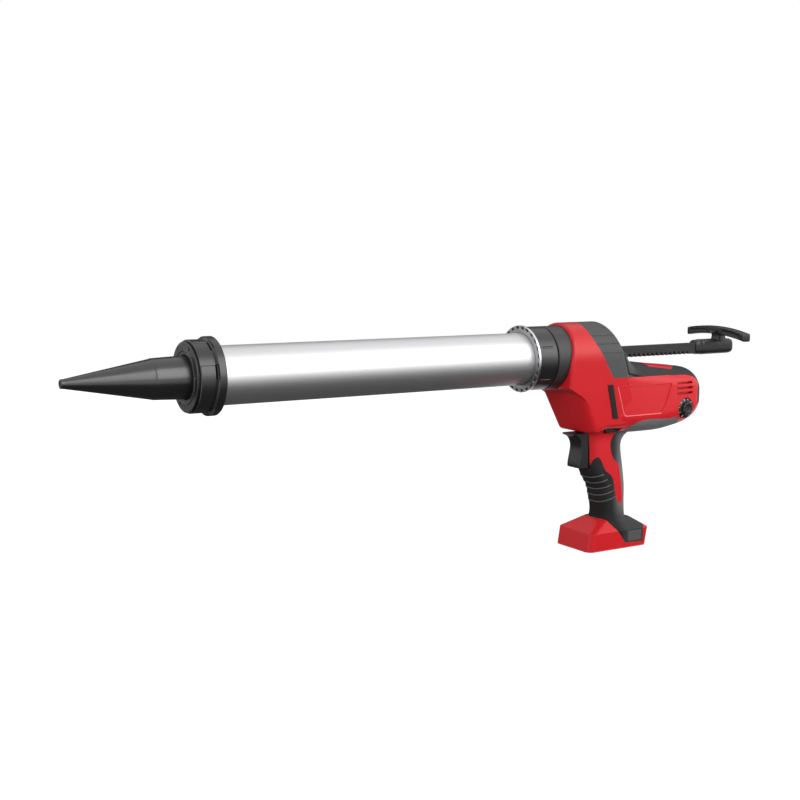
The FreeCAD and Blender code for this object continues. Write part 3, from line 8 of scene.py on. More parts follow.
# %% Load the frame
import bmesh
import bpy
import json
import numpy as np
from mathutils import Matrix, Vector


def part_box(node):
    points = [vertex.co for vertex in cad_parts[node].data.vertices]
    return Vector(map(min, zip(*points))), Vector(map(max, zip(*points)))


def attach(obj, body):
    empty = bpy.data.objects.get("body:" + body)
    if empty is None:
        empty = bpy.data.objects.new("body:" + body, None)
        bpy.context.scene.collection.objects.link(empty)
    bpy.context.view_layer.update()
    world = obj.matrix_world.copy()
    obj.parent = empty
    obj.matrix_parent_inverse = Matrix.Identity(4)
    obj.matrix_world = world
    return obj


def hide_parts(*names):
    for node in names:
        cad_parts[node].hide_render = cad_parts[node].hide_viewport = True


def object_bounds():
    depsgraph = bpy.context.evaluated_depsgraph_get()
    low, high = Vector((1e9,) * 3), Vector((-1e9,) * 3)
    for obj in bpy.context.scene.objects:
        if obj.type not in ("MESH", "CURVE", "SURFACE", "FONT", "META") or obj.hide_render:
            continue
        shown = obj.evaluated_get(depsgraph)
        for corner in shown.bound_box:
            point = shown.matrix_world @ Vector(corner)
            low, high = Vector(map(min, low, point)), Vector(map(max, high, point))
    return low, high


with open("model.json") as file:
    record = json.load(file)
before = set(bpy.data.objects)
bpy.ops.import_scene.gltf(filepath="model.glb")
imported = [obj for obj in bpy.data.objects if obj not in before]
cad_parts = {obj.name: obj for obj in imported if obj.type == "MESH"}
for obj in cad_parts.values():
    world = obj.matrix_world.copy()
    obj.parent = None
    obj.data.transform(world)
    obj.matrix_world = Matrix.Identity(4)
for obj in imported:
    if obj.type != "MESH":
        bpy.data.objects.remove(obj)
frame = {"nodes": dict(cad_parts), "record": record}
cad_low, cad_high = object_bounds()
nodes = frame["nodes"]
MM = 0.001
print("frame", len(nodes), "nodes", [round(v, 3) for v in cad_low], [round(v, 3) for v in cad_high])

# %% [markdown]
# Materials. Every finish here is a small node graph on Object coordinates, so a pattern stays with
# the piece when it moves. A flat colour would be quicker, but three things vary on real mouldings and
# metals: the tint drifts a little over centimetres, the gloss drifts with it, and a fine grain breaks
# up the highlight. One helper builds that common graph, and each finish sets its own sizes.

# %% Finish helper
EDGE_BREAK = 0.45 * MM
GRAIN_REACH = 0.1 * MM
CLOUD_SCALE = 35.0


def finish(name, colour, drift, roughness, gloss_drift, grain_mm, grain_depth, stretch=(1, 1, 1),
           specular=0.5, metallic=0.0):
    """Principled surface whose tint is colour times 1 plus or minus drift, whose roughness swings by
    gloss_drift, and whose bump is a noise with cells of grain_mm over slightly broken edges.
    stretch scales the pattern per axis."""
    material = bpy.data.materials.new(name)
    material.use_nodes = True
    tree = material.node_tree
    surface = tree.nodes["Principled BSDF"]
    surface.inputs["Specular IOR Level"].default_value = specular
    surface.inputs["Metallic"].default_value = metallic
    place = tree.nodes.new("ShaderNodeTexCoord")
    mapping = tree.nodes.new("ShaderNodeMapping")
    mapping.inputs["Scale"].default_value = stretch
    tree.links.new(place.outputs["Object"], mapping.inputs["Vector"])

    cloud = tree.nodes.new("ShaderNodeTexNoise")
    cloud.inputs["Scale"].default_value = CLOUD_SCALE
    cloud.inputs["Detail"].default_value = 4.0
    tree.links.new(mapping.outputs["Vector"], cloud.inputs["Vector"])

    tint = tree.nodes.new("ShaderNodeMix")
    tint.data_type = "RGBA"
    tint.inputs["A"].default_value = [c * (1 - drift) for c in colour] + [1]
    tint.inputs["B"].default_value = [min(1, c * (1 + drift)) for c in colour] + [1]
    tree.links.new(cloud.outputs["Fac"], tint.inputs["Factor"])
    tree.links.new(tint.outputs["Result"], surface.inputs["Base Color"])

    gloss = tree.nodes.new("ShaderNodeMapRange")
    gloss.inputs["To Min"].default_value = roughness - gloss_drift
    gloss.inputs["To Max"].default_value = roughness + gloss_drift
    tree.links.new(cloud.outputs["Fac"], gloss.inputs["Value"])
    tree.links.new(gloss.outputs["Result"], surface.inputs["Roughness"])

    grain = tree.nodes.new("ShaderNodeTexNoise")
    grain.inputs["Scale"].default_value = 1.0 / (grain_mm * MM)
    grain.inputs["Detail"].default_value = 2.0
    tree.links.new(mapping.outputs["Vector"], grain.inputs["Vector"])
    bump = tree.nodes.new("ShaderNodeBump")
    bump.inputs["Strength"].default_value = grain_depth
    bump.inputs["Distance"].default_value = GRAIN_REACH
    tree.links.new(grain.outputs["Fac"], bump.inputs["Height"])
    broken_edge = tree.nodes.new("ShaderNodeBevel")
    broken_edge.inputs["Radius"].default_value = EDGE_BREAK
    tree.links.new(broken_edge.outputs["Normal"], bump.inputs["Normal"])
    tree.links.new(bump.outputs["Normal"], surface.inputs["Normal"])
    print("finish", name)
    return material


# %% [markdown]
# The tool's own finishes: a glossy red shell, soft gray rubber, several blacks that differ mostly in
# gloss, a drawn aluminium tube whose grain is stretched along the barrel, and the metals inside.
# The numbers of a row are the tint, its drift, the roughness, its drift, the grain's cell in
# millimetres and its depth.

# %% Mouldings and rubber
moulded_red = finish(
    "moulded_red", (0.50, 0.010, 0.015), 0.05, 0.36, 0.04, 0.45, 0.25, specular=0.42)
# A paler red for the panel's front and lower edge: a painted highlight where that edge catches the
# light.
edge_red_painted_highlight = finish("edge_red_painted_highlight", (0.74, 0.20, 0.20), 0.05, 0.34, 0.04, 0.45, 0.2)
# The soft rubber is darkened behind the arch as painted shade on top of the motor body.
soft_gray_painted_shade = finish(
    "soft_gray_painted_shade", (0.072, 0.072, 0.074), 0.08, 0.60, 0.05, 0.35, 0.45, specular=0.22)
# The grip's rubber is paler than soft gray, a painted highlight for its lit rear strip, and painted
# shade ramps darken it below.
grip_gray_painted_shading = finish(
    "grip_gray_painted_shading", (0.135, 0.135, 0.137), 0.10, 0.62, 0.05, 0.35, 0.5, specular=0.25)
pad_gray = finish("pad_gray", (0.060, 0.060, 0.061), 0.08, 0.55, 0.05, 0.35, 0.4)
ridge_rubber = finish("ridge_rubber", (0.075, 0.075, 0.076), 0.10, 0.42, 0.05, 0.35, 0.3)
seal_rubber = finish("seal_rubber", (0.012, 0.012, 0.012), 0.15, 0.55, 0.06, 0.5, 0.3)
satin_black = finish("satin_black", (0.009, 0.009, 0.0095), 0.12, 0.35, 0.05, 0.5, 0.3)
ring_gray = finish("ring_gray", (0.009, 0.009, 0.0095), 0.12, 0.32, 0.05, 0.5, 0.3, specular=0.75)
nozzle_black = finish(
    "nozzle_black", (0.008, 0.008, 0.0085), 0.12, 0.27, 0.04, 0.5, 0.25, specular=0.95)
trim_black = finish(
    "trim_black", (0.012, 0.0125, 0.0125), 0.12, 0.48, 0.05, 0.4, 0.35, specular=0.3)
mark_white = finish("mark_white", (0.72, 0.72, 0.71), 0.03, 0.5, 0.04, 0.5, 0.1)

# %% Metals and inner parts
drawn_tube = finish(
    "drawn_tube", (0.69, 0.69, 0.70), 0.02, 0.46, 0.03, 0.35, 0.10, (0.012, 1, 1), metallic=1.0)
plated_ring = finish("plated_ring", (0.76, 0.76, 0.77), 0.04, 0.26, 0.05, 0.8, 0.10, metallic=1.0)
dull_steel = finish("dull_steel", (0.45, 0.45, 0.46), 0.08, 0.38, 0.05, 0.6, 0.2, metallic=1.0)
black_oxide = finish(
    "black_oxide", (0.018, 0.018, 0.019), 0.15, 0.44, 0.06, 0.6, 0.25, (0.15, 1, 1), specular=0.35)
coated_casting = finish("coated_casting", (0.026, 0.026, 0.027), 0.10, 0.46, 0.06, 0.7, 0.4)
machined_steel = finish(
    "machined_steel", (0.55, 0.55, 0.56), 0.06, 0.30, 0.07, 0.4, 0.2, metallic=1.0)
bush_bronze = finish("bush_bronze", (0.62, 0.40, 0.17), 0.10, 0.40, 0.07, 0.5, 0.3, metallic=1.0)
motor_steel = finish("motor_steel", (0.42, 0.42, 0.44), 0.08, 0.34, 0.06, 0.6, 0.2, metallic=1.0)
ferrite = finish("ferrite", (0.06, 0.06, 0.062), 0.15, 0.60, 0.08, 0.6, 0.4)
board_green = finish("board_green", (0.02, 0.13, 0.05), 0.25, 0.35, 0.06, 1.2, 0.2)
contact_brass = finish(
    "contact_brass", (0.70, 0.50, 0.20), 0.06, 0.28, 0.06, 0.5, 0.15, metallic=1.0)

# %% [markdown]
# The soft rubber carries painted light and shade. The grip's rubber is paler than the rest, a painted
# highlight for the light on its rear strip. Ramps darken it as painted shade at the front of the grip,
# where the head shades it, and towards its bottom by the foot. On top of the motor body behind the arch
# the cover is darkened as painted shade too. Painted vertex colours could do the same, but ramps along
# the object's axes need no extra data on the imported meshes: a finish starts as the plain rubber, and
# the ramps then darken its tint.

# %% Painted shade on the rubber
# Paints shade into a finish by darkening its tint with ramps.
def paint_shade(material, *ramps):
    """Scales the tint by the product of ramps. Each ramp is (axis, dark place, light place, share kept
    in the dark), and rises smoothly from that share to 1 between the two places, in metres."""
    tree = material.node_tree
    surface = tree.nodes["Principled BSDF"]
    tint = surface.inputs["Base Color"].links[0].from_socket
    place = tree.nodes.new("ShaderNodeTexCoord")
    split = tree.nodes.new("ShaderNodeSeparateXYZ")
    tree.links.new(place.outputs["Object"], split.inputs["Vector"])
    for axis, dark_at, light_at, kept in ramps:
        ramp = tree.nodes.new("ShaderNodeMapRange")
        ramp.interpolation_type = "SMOOTHSTEP"
        ramp.inputs["From Min"].default_value = dark_at
        ramp.inputs["From Max"].default_value = light_at
        ramp.inputs["To Min"].default_value = kept
        tree.links.new(split.outputs[axis], ramp.inputs["Value"])
        scaled = tree.nodes.new("ShaderNodeVectorMath")
        scaled.operation = "SCALE"
        tree.links.new(tint, scaled.inputs["Vector"])
        tree.links.new(ramp.outputs["Result"], scaled.inputs["Scale"])
        tint = scaled.outputs["Vector"]
    tree.links.new(tint, surface.inputs["Base Color"])
    print(material.name, "darkened along", [ramp[0] for ramp in ramps])


# Painted shade ramps: the front of the grip, the grip towards the foot, and the cover on top of the
# motor body behind the arch.
GRIP_FRONT_SHADE = ("X", -0.004, 0.012, 0.10)
GRIP_LOW_SHADE = ("Z", -0.055, -0.025, 0.22)
# Painted shade on top of the motor body behind the arch.
COVER_REAR_SHADE = ("X", 0.017, 0.003, 0.34)
paint_shade(grip_gray_painted_shading, GRIP_FRONT_SHADE, GRIP_LOW_SHADE)
paint_shade(soft_gray_painted_shade, COVER_REAR_SHADE)

# %% [markdown]
# The record names a material slot for every imported node. A node gets its slot's finish, unless it is
# one of the few pieces with a finish of their own: the grip halves carry a paler rubber with painted
# light and shade, and the foot pads a gray of their own.

# %% Dress the imported nodes
slot_finish = {
    "red_shell": moulded_red,
    "gray_overmould": soft_gray_painted_shade,
    "dark_trim": trim_black,
    "black_plastic": satin_black,
    "bright_tube": drawn_tube,
    "bright_steel": plated_ring,
    "black_rod": black_oxide,
    "black_casting": coated_casting,
    "machine_steel": machined_steel,
    "bush_bronze": bush_bronze,
    "motor_steel": motor_steel,
    "magnet": ferrite,
    "seal_rubber": seal_rubber,
    "board_green": board_green,
    "contact_brass": contact_brass,
}
# The grip halves get the rubber with painted light and shade.
node_finish = {"grip_left": grip_gray_painted_shading, "grip_right": grip_gray_painted_shading, "foot_pads": pad_gray}
for part in frame["record"]["subparts"]:
    packed = nodes[part["node"]].data
    packed.materials.clear()
    packed.materials.append(node_finish.get(part["node"], slot_finish[part["material_slot"]]))
print("dressed", len(nodes), "nodes in", len(slot_finish), "slots")

# %% [markdown]
# Surfaces from grids. The tube, the cap, the nozzle and the other turned pieces are seen close to a
# polished edge, where the facets and knife edges of a plain solid show. A Bevel modifier would round
# them, but it leaves the facets. So each one is worked out again as a grid of points: one parameter
# runs along a softened profile, the other round the axis. numpy makes the whole grid at once, and one
# helper turns any grid into a closed mesh.

# %% Profiles
CORNER_SHARE = 0.45


def node_box(node):
    """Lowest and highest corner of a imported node, in millimetres."""
    low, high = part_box(node)
    return np.array(low) / MM, np.array(high) / MM


def band(front, rear, inner, outer):
    """Rectangular wall of (x, r), from its inner front corner round to its inner rear corner."""
    return [(front, inner), (front, outer), (rear, outer), (rear, inner)]


def soften(profile, radius, steps=5):
    """Closed outline with its corners rounded: each corner gives way to a quadratic Bezier arc between
    the points that lie radius, or at most CORNER_SHARE of the edge, before it and behind it."""
    corner = np.asarray(profile, float)
    back = np.roll(corner, 1, 0) - corner
    ahead = np.roll(corner, -1, 0) - corner
    back = back * np.minimum(CORNER_SHARE, radius / np.linalg.norm(back, axis=1))[:, None]
    ahead = ahead * np.minimum(CORNER_SHARE, radius / np.linalg.norm(ahead, axis=1))[:, None]
    t = np.linspace(0, 1, steps)[None, :, None]
    mid = corner[:, None]
    start, stop = mid + back[:, None], mid + ahead[:, None]
    arcs = (1 - t) ** 2 * start + 2 * t * (1 - t) * mid + t ** 2 * stop
    return arcs.reshape(-1, 2)


def spaced(outline, step):
    """The closed outline with extra points every step along it, by linear interpolation of its run
    length, which is kept to a hundredth of a millimetre."""
    loop = np.vstack([outline, outline[:1]])
    run = np.concatenate([[0], np.cumsum(np.linalg.norm(np.diff(loop, axis=0), axis=1))])
    at = np.concatenate([run[:-1], np.arange(0, run[-1] - 0.01, step)])
    at = np.unique(np.round(at, 2))
    return np.stack([np.interp(at, run, loop[:, 0]), np.interp(at, run, loop[:, 1])], 1)


def window(value, low, high, edge):
    """1 between low and high, falling to 0 over edge outside them."""
    return np.clip((value - low) / edge + 1, 0, 1) * np.clip((high - value) / edge + 1, 0, 1)


def teeth(angle, count, share, edge, phase=0.0):
    """1 over a share of each of count equal periods round the circle, with sloping sides edge periods
    wide."""
    away = np.abs((angle * count / (2 * np.pi) - phase) % 1.0 - 0.5)
    return np.clip((share / 2 - away) / edge + 1, 0, 1)


# %% Meshes from grids
def mesh_piece(name, points, faces, finish_of, body, sharp=32.0):
    """Piece from points in millimetres and quads, with doubles merged, normals outward, and soft
    shading across edges that bend by less than sharp degrees."""
    mesh = bpy.data.meshes.new(name)
    mesh.from_pydata((points * MM).tolist(), [], faces.tolist())
    shell = bmesh.new()
    shell.from_mesh(mesh)
    bmesh.ops.remove_doubles(shell, verts=shell.verts, dist=1e-6)
    bmesh.ops.dissolve_degenerate(shell, edges=shell.edges, dist=1e-7)
    bmesh.ops.recalc_face_normals(shell, faces=shell.faces)
    shell.to_mesh(mesh)
    shell.free()
    mesh.shade_smooth()
    mesh.set_sharp_from_angle(angle=np.radians(sharp))
    mesh.materials.append(finish_of)
    piece = bpy.data.objects.new(name, mesh)
    bpy.context.scene.collection.objects.link(piece)
    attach(piece, body)
    print(name, len(mesh.polygons), "faces")
    return piece


def grid_faces(rows, columns, wrap_rows):
    """Quads between neighbours of a grid: its last column joins its first, and its last row may too."""
    row, column = np.meshgrid(
        np.arange(rows - (not wrap_rows)), np.arange(columns), indexing="ij")
    row, column = row.ravel(), column.ravel()
    below, right = (row + 1) % rows, (column + 1) % columns
    corners = [(row, column), (row, right), (below, right), (below, column)]
    return np.stack([line * columns + place for line, place in corners], 1)


def ring_piece(name, points, finish_of, body, sharp=32.0):
    """Closed piece from a grid whose rows are a closed profile and whose columns go round an axis."""
    faces = grid_faces(points.shape[0], points.shape[1], True)
    return mesh_piece(name, points.reshape(-1, 3), faces, finish_of, body, sharp)


def tube_piece(name, points, finish_of, body, sharp=32.0):
    """Closed piece from rings along a path: each end ring shrinks to its own middle, so both ends are
    drawn shut."""
    first = np.broadcast_to(points[:1].mean(1, keepdims=True), points[:1].shape)
    last = np.broadcast_to(points[-1:].mean(1, keepdims=True), points[-1:].shape)
    points = np.concatenate([first, points, last])
    faces = grid_faces(points.shape[0], points.shape[1], False)
    return mesh_piece(name, points.reshape(-1, 3), faces, finish_of, body, sharp)


def both_sides(*rows):
    """Left and right pieces on the housing. Each row is (name, right-hand points, finish, slot,
    sharp), and the left-hand points are the same with y turned round. The slot is not used."""
    for side, hand in ((-1, "left"), (1, "right")):
        for name, points, finish_of, slot, sharp in rows:
            handed = points * np.array([1, side, 1])
            tube_piece(name + "_" + hand, handed, finish_of, "housing", sharp)


# %% Round the barrel's axis
tube_low, tube_high = node_box("barrel_tube")
AXIS_Z = (tube_low[2] + tube_high[2]) / 2
TUBE_R = (tube_high[2] - tube_low[2]) / 2
print("barrel axis at height", round(AXIS_Z, 2), "tube radius", round(TUBE_R, 2))


def turned(profile, turns, ripple=None):
    """Profile of (x, r) carried round the barrel's axis: (x, r sin a, axis + r cos a), after ripple
    moved x and r."""
    angle = np.linspace(0, 2 * np.pi, turns, endpoint=False)[None, :]
    x = profile[:, :1] + 0 * angle
    r = profile[:, 1:] + 0 * angle
    if ripple:
        x, r = ripple(x, r, angle)
    return np.stack([x, r * np.sin(angle), AXIS_Z + r * np.cos(angle)], -1)


# %% [markdown]
# The barrel is a drawn tube with a thin wall. A cylinder with a Solidify modifier would do, but a closed
# profile of the wall turned round the axis gives the inside and the small breaks of its ends in one go.

# %% Barrel tube
TUBE_WALL, TUBE_BREAK, TUBE_STEP, TUBE_TURNS = 2.2, 0.6, 27.0, 256
tube_wall = band(tube_low[0], tube_high[0], TUBE_R - TUBE_WALL, TUBE_R)
tube_points = turned(spaced(soften(tube_wall, TUBE_BREAK), TUBE_STEP), TUBE_TURNS)
barrel_pipe = ring_piece("barrel_pipe", tube_points, drawn_tube, "housing")
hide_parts("barrel_tube")

# %% [markdown]
# The nozzle is one moulding: a long cone, a waist where it meets a short straight root, and a flange
# that the cap holds. Two stacked cones would show a hard seam at the waist. Here the profile runs out
# along the cone and back through the bore, and only the corners that a mould would round are rounded.

# %% Nozzle
nozzle_low, nozzle_high = node_box("nozzle")
TIP, ROOT = nozzle_low[0], nozzle_high[0]
TIP_R, TIP_BORE, TIP_BORE_END = 4.1, 2.6, TIP + 14.0
WAIST, WAIST_R, ROOT_R, NOZZLE_WALL = TIP + 83.0, 18.9, 20.7, 2.2
FLANGE_AT, FLANGE_R = ROOT - 3.0, (nozzle_high[2] - nozzle_low[2]) / 2
NOZZLE_BREAK, NOZZLE_STEP, NOZZLE_TURNS = 0.8, 6.0, 160
nozzle_wall = [
    (TIP, TIP_BORE), (TIP, TIP_R), (TIP + 2.2, TIP_R + 0.36), (TIP + 2.8, TIP_R + 0.28),
    (WAIST - 0.6, WAIST_R - 0.1), (WAIST + 0.6, WAIST_R + 0.35),
    (FLANGE_AT - 1.4, ROOT_R), (FLANGE_AT, ROOT_R - 0.4),
    (FLANGE_AT, FLANGE_R), (ROOT, FLANGE_R), (ROOT, ROOT_R - NOZZLE_WALL),
    (WAIST, WAIST_R - NOZZLE_WALL), (TIP_BORE_END + 4, TIP_BORE + 0.9), (TIP_BORE_END, TIP_BORE),
]
nozzle_points = turned(spaced(soften(nozzle_wall, NOZZLE_BREAK), NOZZLE_STEP), NOZZLE_TURNS)
nozzle_cone = ring_piece("nozzle_cone", nozzle_points, nozzle_black, "outlet")
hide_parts("nozzle")

# %% [markdown]
# The screw cap carries three broad raised pads that fingers turn it by, and a wider flange at its rear
# with slots in front of it. Its face has a raised ring by the nozzle, six short notches, and a groove
# behind its rim, with a black ring laid in the groove as painted shade. Booleans would cut these one by
# one and leave ragged shading. The same turned profile holds them all: a ripple lifts or sinks the
# radius and the face by windows in the angle.

# %% Cap profile
cap_low, cap_high = node_box("front_cap")
CAP_RING_HIGH, CAP_RING_IN, CAP_RING_OUT = 0.7, 24.2, 26.4
CAP_FACE, CAP_REAR = cap_low[0] + CAP_RING_HIGH, cap_high[0]
CAP_R, CAP_HOLE, CAP_BORE, CAP_FLOOR = 34.3, 21.3, 28.85, CAP_FACE + 4.2
CAP_FLANGE_R, CAP_FLANGE_AT = (cap_high[2] - cap_low[2]) / 2, CAP_REAR - 8.5
GROOVE_FROM, GROOVE_TO, GROOVE_R = CAP_FACE + 0.9, CAP_FACE + 3.1, CAP_R - 3.4
cap_wall = [
    (CAP_FACE, CAP_HOLE), (CAP_FACE, CAP_RING_IN),
    (CAP_FACE - CAP_RING_HIGH, CAP_RING_IN + 0.4), (CAP_FACE - CAP_RING_HIGH, CAP_RING_OUT - 0.4),
    (CAP_FACE, CAP_RING_OUT), (CAP_FACE, CAP_R - 1.5), (CAP_FACE + 0.4, CAP_R - 1.0),
    (GROOVE_FROM, CAP_R - 1.0), (GROOVE_FROM, GROOVE_R), (GROOVE_TO, GROOVE_R),
    (GROOVE_TO, CAP_R - 0.3), (GROOVE_TO + 0.3, CAP_R),
    (CAP_FLANGE_AT - 1.2, CAP_R), (CAP_FLANGE_AT, CAP_FLANGE_R - 0.8),
    (CAP_FLANGE_AT + 0.9, CAP_FLANGE_R), (CAP_REAR - 0.9, CAP_FLANGE_R),
    (CAP_REAR, CAP_FLANGE_R - 0.9), (CAP_REAR, CAP_BORE), (CAP_FLOOR, CAP_BORE), (CAP_FLOOR, CAP_HOLE),
]
print("cap profile", len(cap_wall), "corners")

# %% Screw cap
PADS, PAD_SHARE, PAD_PHASE, PAD_HIGH = 3, 0.583, 0.6333, 0.7
CAP_SLOT_SHARE, CAP_SLOT_PHASES, CAP_SLOT_DEEP = 0.167, (0.8417, 0.2542), 1.8
NOTCHES, NOTCH_SHARE, NOTCH_PHASE, NOTCH_DEEP = 6, 0.055, 0.05, 0.8
NOTCH_IN, NOTCH_OUT = 27.2, 31.4
CAP_BREAK, CAP_STEP, CAP_TURNS = 0.35, 0.7, 480


def cap_ripple(x, r, angle):
    """Pads add to the side's radius, slots take from it in front of the flange, and notches sink the
    face. Each is a window in the angle times a window in x and r."""
    side = window(r, CAP_R - 0.2, CAP_R + 0.2, 0.3)
    pads = teeth(angle, PADS, PAD_SHARE, 0.008, PAD_PHASE)
    pads = pads * window(x, GROOVE_TO + 0.6, CAP_FLANGE_AT - 1.8, 0.4) * side
    slots = sum(teeth(angle, PADS, CAP_SLOT_SHARE, 0.01, phase) for phase in CAP_SLOT_PHASES)
    slots = slots * window(x, CAP_FLANGE_AT - 1.4, CAP_FLANGE_AT + 0.7, 0.3) * (r > CAP_R - 0.3)
    notch = teeth(angle, NOTCHES, NOTCH_SHARE, 0.012, NOTCH_PHASE)
    notch = notch * window(r, NOTCH_IN, NOTCH_OUT, 0.3)
    notch = notch * window(x, CAP_FACE - 0.05, CAP_FACE + 0.05, 0.05)
    return x + NOTCH_DEEP * notch, r + PAD_HIGH * pads - CAP_SLOT_DEEP * slots


cap_points = turned(spaced(soften(cap_wall, CAP_BREAK, 4), CAP_STEP), CAP_TURNS, cap_ripple)
cap_shell = ring_piece("cap_shell", cap_points, ring_gray, "cap", 28.0)
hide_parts("front_cap")

# %% Black ring in the face groove, painted shade
# A black ring laid in the face groove darkens it as painted shade.
GROOVE_SHADE_BED, GROOVE_SHADE_DOWN = 0.2, 2.2
groove_shade_wall = band(
    GROOVE_FROM - GROOVE_SHADE_BED, GROOVE_TO + GROOVE_SHADE_BED, GROOVE_R - GROOVE_SHADE_BED, CAP_R - GROOVE_SHADE_DOWN)
groove_shade_points = turned(soften(groove_shade_wall, 0.2, 3), 240)
ring_piece("face_groove_shade", groove_shade_points, seal_rubber, "cap")

# %% [markdown]
# Behind the barrel sit a bright slotted ring and a dark collar that turns to lock it. The ring is a
# turned profile whose face sinks into 24 short slots inside a thin rim, with a dark backing ring that
# shows in them. The collar has a toothed front lip and six shallow grooves along its length. Ripples
# make the slots and grooves here too, because they keep one clean grid for each ring.

# %% Slotted ring
ring_low, ring_high = node_box("barrel_ring")
RING_FRONT, RING_REAR, RING_BORE = ring_low[0], ring_high[0], TUBE_R + 0.3
RING_R = (ring_high[2] - ring_low[2]) / 2
RING_SLOTS, RING_SLOT_SHARE, RING_SLOT_DEEP = 24, 0.52, 1.7
SLOT_OUT = RING_R - 1.0
SLOT_IN = SLOT_OUT - 2.3
ring_wall = band(RING_FRONT, RING_REAR, RING_BORE, RING_R)


def ring_ripple(x, r, angle):
    """The face sinks by the slot's depth where both the radius and the angle are inside a slot."""
    across = window(r, SLOT_IN, SLOT_OUT, 0.12)
    slot = teeth(angle, RING_SLOTS, RING_SLOT_SHARE, 0.02) * across * (x < RING_FRONT + 0.3)
    return x + RING_SLOT_DEEP * slot, r


ring_points = turned(spaced(soften(ring_wall, 0.3, 4), 0.22), 480, ring_ripple)
slotted_ring = ring_piece("slotted_ring", ring_points, dull_steel, "housing", 28.0)
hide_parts("barrel_ring")

# %% Rim and backing of the slots
RIM_PROUD, RIM_THICK, RIM_SHORT = 0.06, 0.8, 0.3
BACKING_AT, BACKING_THICK, BACKING_LAP = RING_FRONT + 1.2, 0.3, 0.2
rim_wall = band(
    RING_FRONT - RIM_PROUD, RING_REAR - RIM_SHORT, RING_R - RIM_THICK, RING_R + RIM_PROUD)
rim_points = turned(soften(rim_wall, 0.25, 4), 240)
ring_piece("ring_rim", rim_points, plated_ring, "housing")
backing_wall = band(
    BACKING_AT, BACKING_AT + BACKING_THICK, SLOT_IN - BACKING_LAP, SLOT_OUT + BACKING_LAP)
backing_points = turned(soften(backing_wall, 0.1, 3), 240)
ring_piece("slot_backing", backing_points, seal_rubber, "housing")

# %% Collar
collar_low, collar_high = node_box("lock_collar")
COLLAR_FRONT, COLLAR_REAR = collar_low[0], collar_high[0]
COLLAR_R, COLLAR_BORE = (collar_high[2] - collar_low[2]) / 2, 31.8
LIP_R, LIP_REAR, LIP_TEETH, LIP_GAP_SHARE, LIP_GAP_DEEP = 29.3, COLLAR_FRONT + 3.5, 48, 0.40, 0.9
COLLAR_GROOVES, COLLAR_GROOVE_SHARE, COLLAR_GROOVE_PHASE, COLLAR_GROOVE_DEEP = 6, 0.035, 0.4, 0.6
COLLAR_GROOVE_END = 5.0
collar_wall = [
    (COLLAR_FRONT, LIP_R), (COLLAR_FRONT, COLLAR_R - 1.0), (COLLAR_FRONT + 1.0, COLLAR_R),
    (COLLAR_REAR - 0.8, COLLAR_R), (COLLAR_REAR, COLLAR_R - 0.8),
    (COLLAR_REAR, COLLAR_BORE), (LIP_REAR, COLLAR_BORE), (LIP_REAR, LIP_R),
]


def collar_ripple(x, r, angle):
    """Grooves sink along the outside, and the front lip sinks in the gaps between its teeth."""
    outside = r > COLLAR_R - 1.1
    groove = teeth(angle, COLLAR_GROOVES, COLLAR_GROOVE_SHARE, 0.012, COLLAR_GROOVE_PHASE)
    groove = groove * window(
        x, COLLAR_FRONT + COLLAR_GROOVE_END, COLLAR_REAR - COLLAR_GROOVE_END, 0.6)
    gap = teeth(angle, LIP_TEETH, LIP_GAP_SHARE, 0.10)
    gap = gap * window(x, COLLAR_FRONT - 1, COLLAR_FRONT + 0.9, 0.3)
    return x, r - outside * (COLLAR_GROOVE_DEEP * groove + LIP_GAP_DEEP * gap)


collar_points = turned(spaced(soften(collar_wall, 0.4, 4), 0.9), 720, collar_ripple)
lock_sleeve = ring_piece("lock_sleeve", collar_points, ring_gray, "collar", 28.0)
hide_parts("lock_collar")

# %% [markdown]
# The speed dial is a small knob on the left of the motor body. A skirt with a knurled rim carries white
# marks, and a fluted grip stands on it. A texture could draw the marks, but at this size they read
# better as geometry. The knob is a profile turned about its own axis, which lies along Y, and the marks
# are thin raised bars laid out on the skirt's slope.

# %% Dial profile
dial_low, dial_high = node_box("speed_dial")
DIAL_X, DIAL_Z = (dial_low[0] + dial_high[0]) / 2, (dial_low[2] + dial_high[2]) / 2
DIAL_R, DIAL_FACE, DIAL_BACK = (dial_high[0] - dial_low[0]) / 2, dial_low[1], dial_high[1]
SKIRT_AT, SKIRT_BACK, STALK_R, KNOB_R = DIAL_FACE + 4.6, DIAL_FACE + 9.0, 3.0, 8.4
SLOPE_FOOT, SLOPE_TOP = (SKIRT_AT + 0.9, DIAL_R), (SKIRT_AT - 0.6, KNOB_R + 0.9)
dial_wall = [
    (DIAL_BACK, 0.0), (DIAL_BACK, STALK_R), (SKIRT_BACK, STALK_R), (SKIRT_BACK, DIAL_R),
    SLOPE_FOOT, SLOPE_TOP, (SKIRT_AT - 0.9, KNOB_R),
    (DIAL_FACE + 0.6, KNOB_R - 0.5), (DIAL_FACE, KNOB_R - 1.3),
    (DIAL_FACE + 0.1, 4.2), (DIAL_FACE + 0.7, 3.6), (DIAL_FACE + 0.8, 0.0),
]


def about_dial(y, r, angle):
    """Point at depth y and radius r round the dial's axis: (X + r sin a, y, Z + r cos a)."""
    x, z = DIAL_X + r * np.sin(angle), DIAL_Z + r * np.cos(angle)
    return np.stack(np.broadcast_arrays(x, y, z), -1)


print("dial radius", round(DIAL_R, 2), "face at", round(DIAL_FACE, 2))

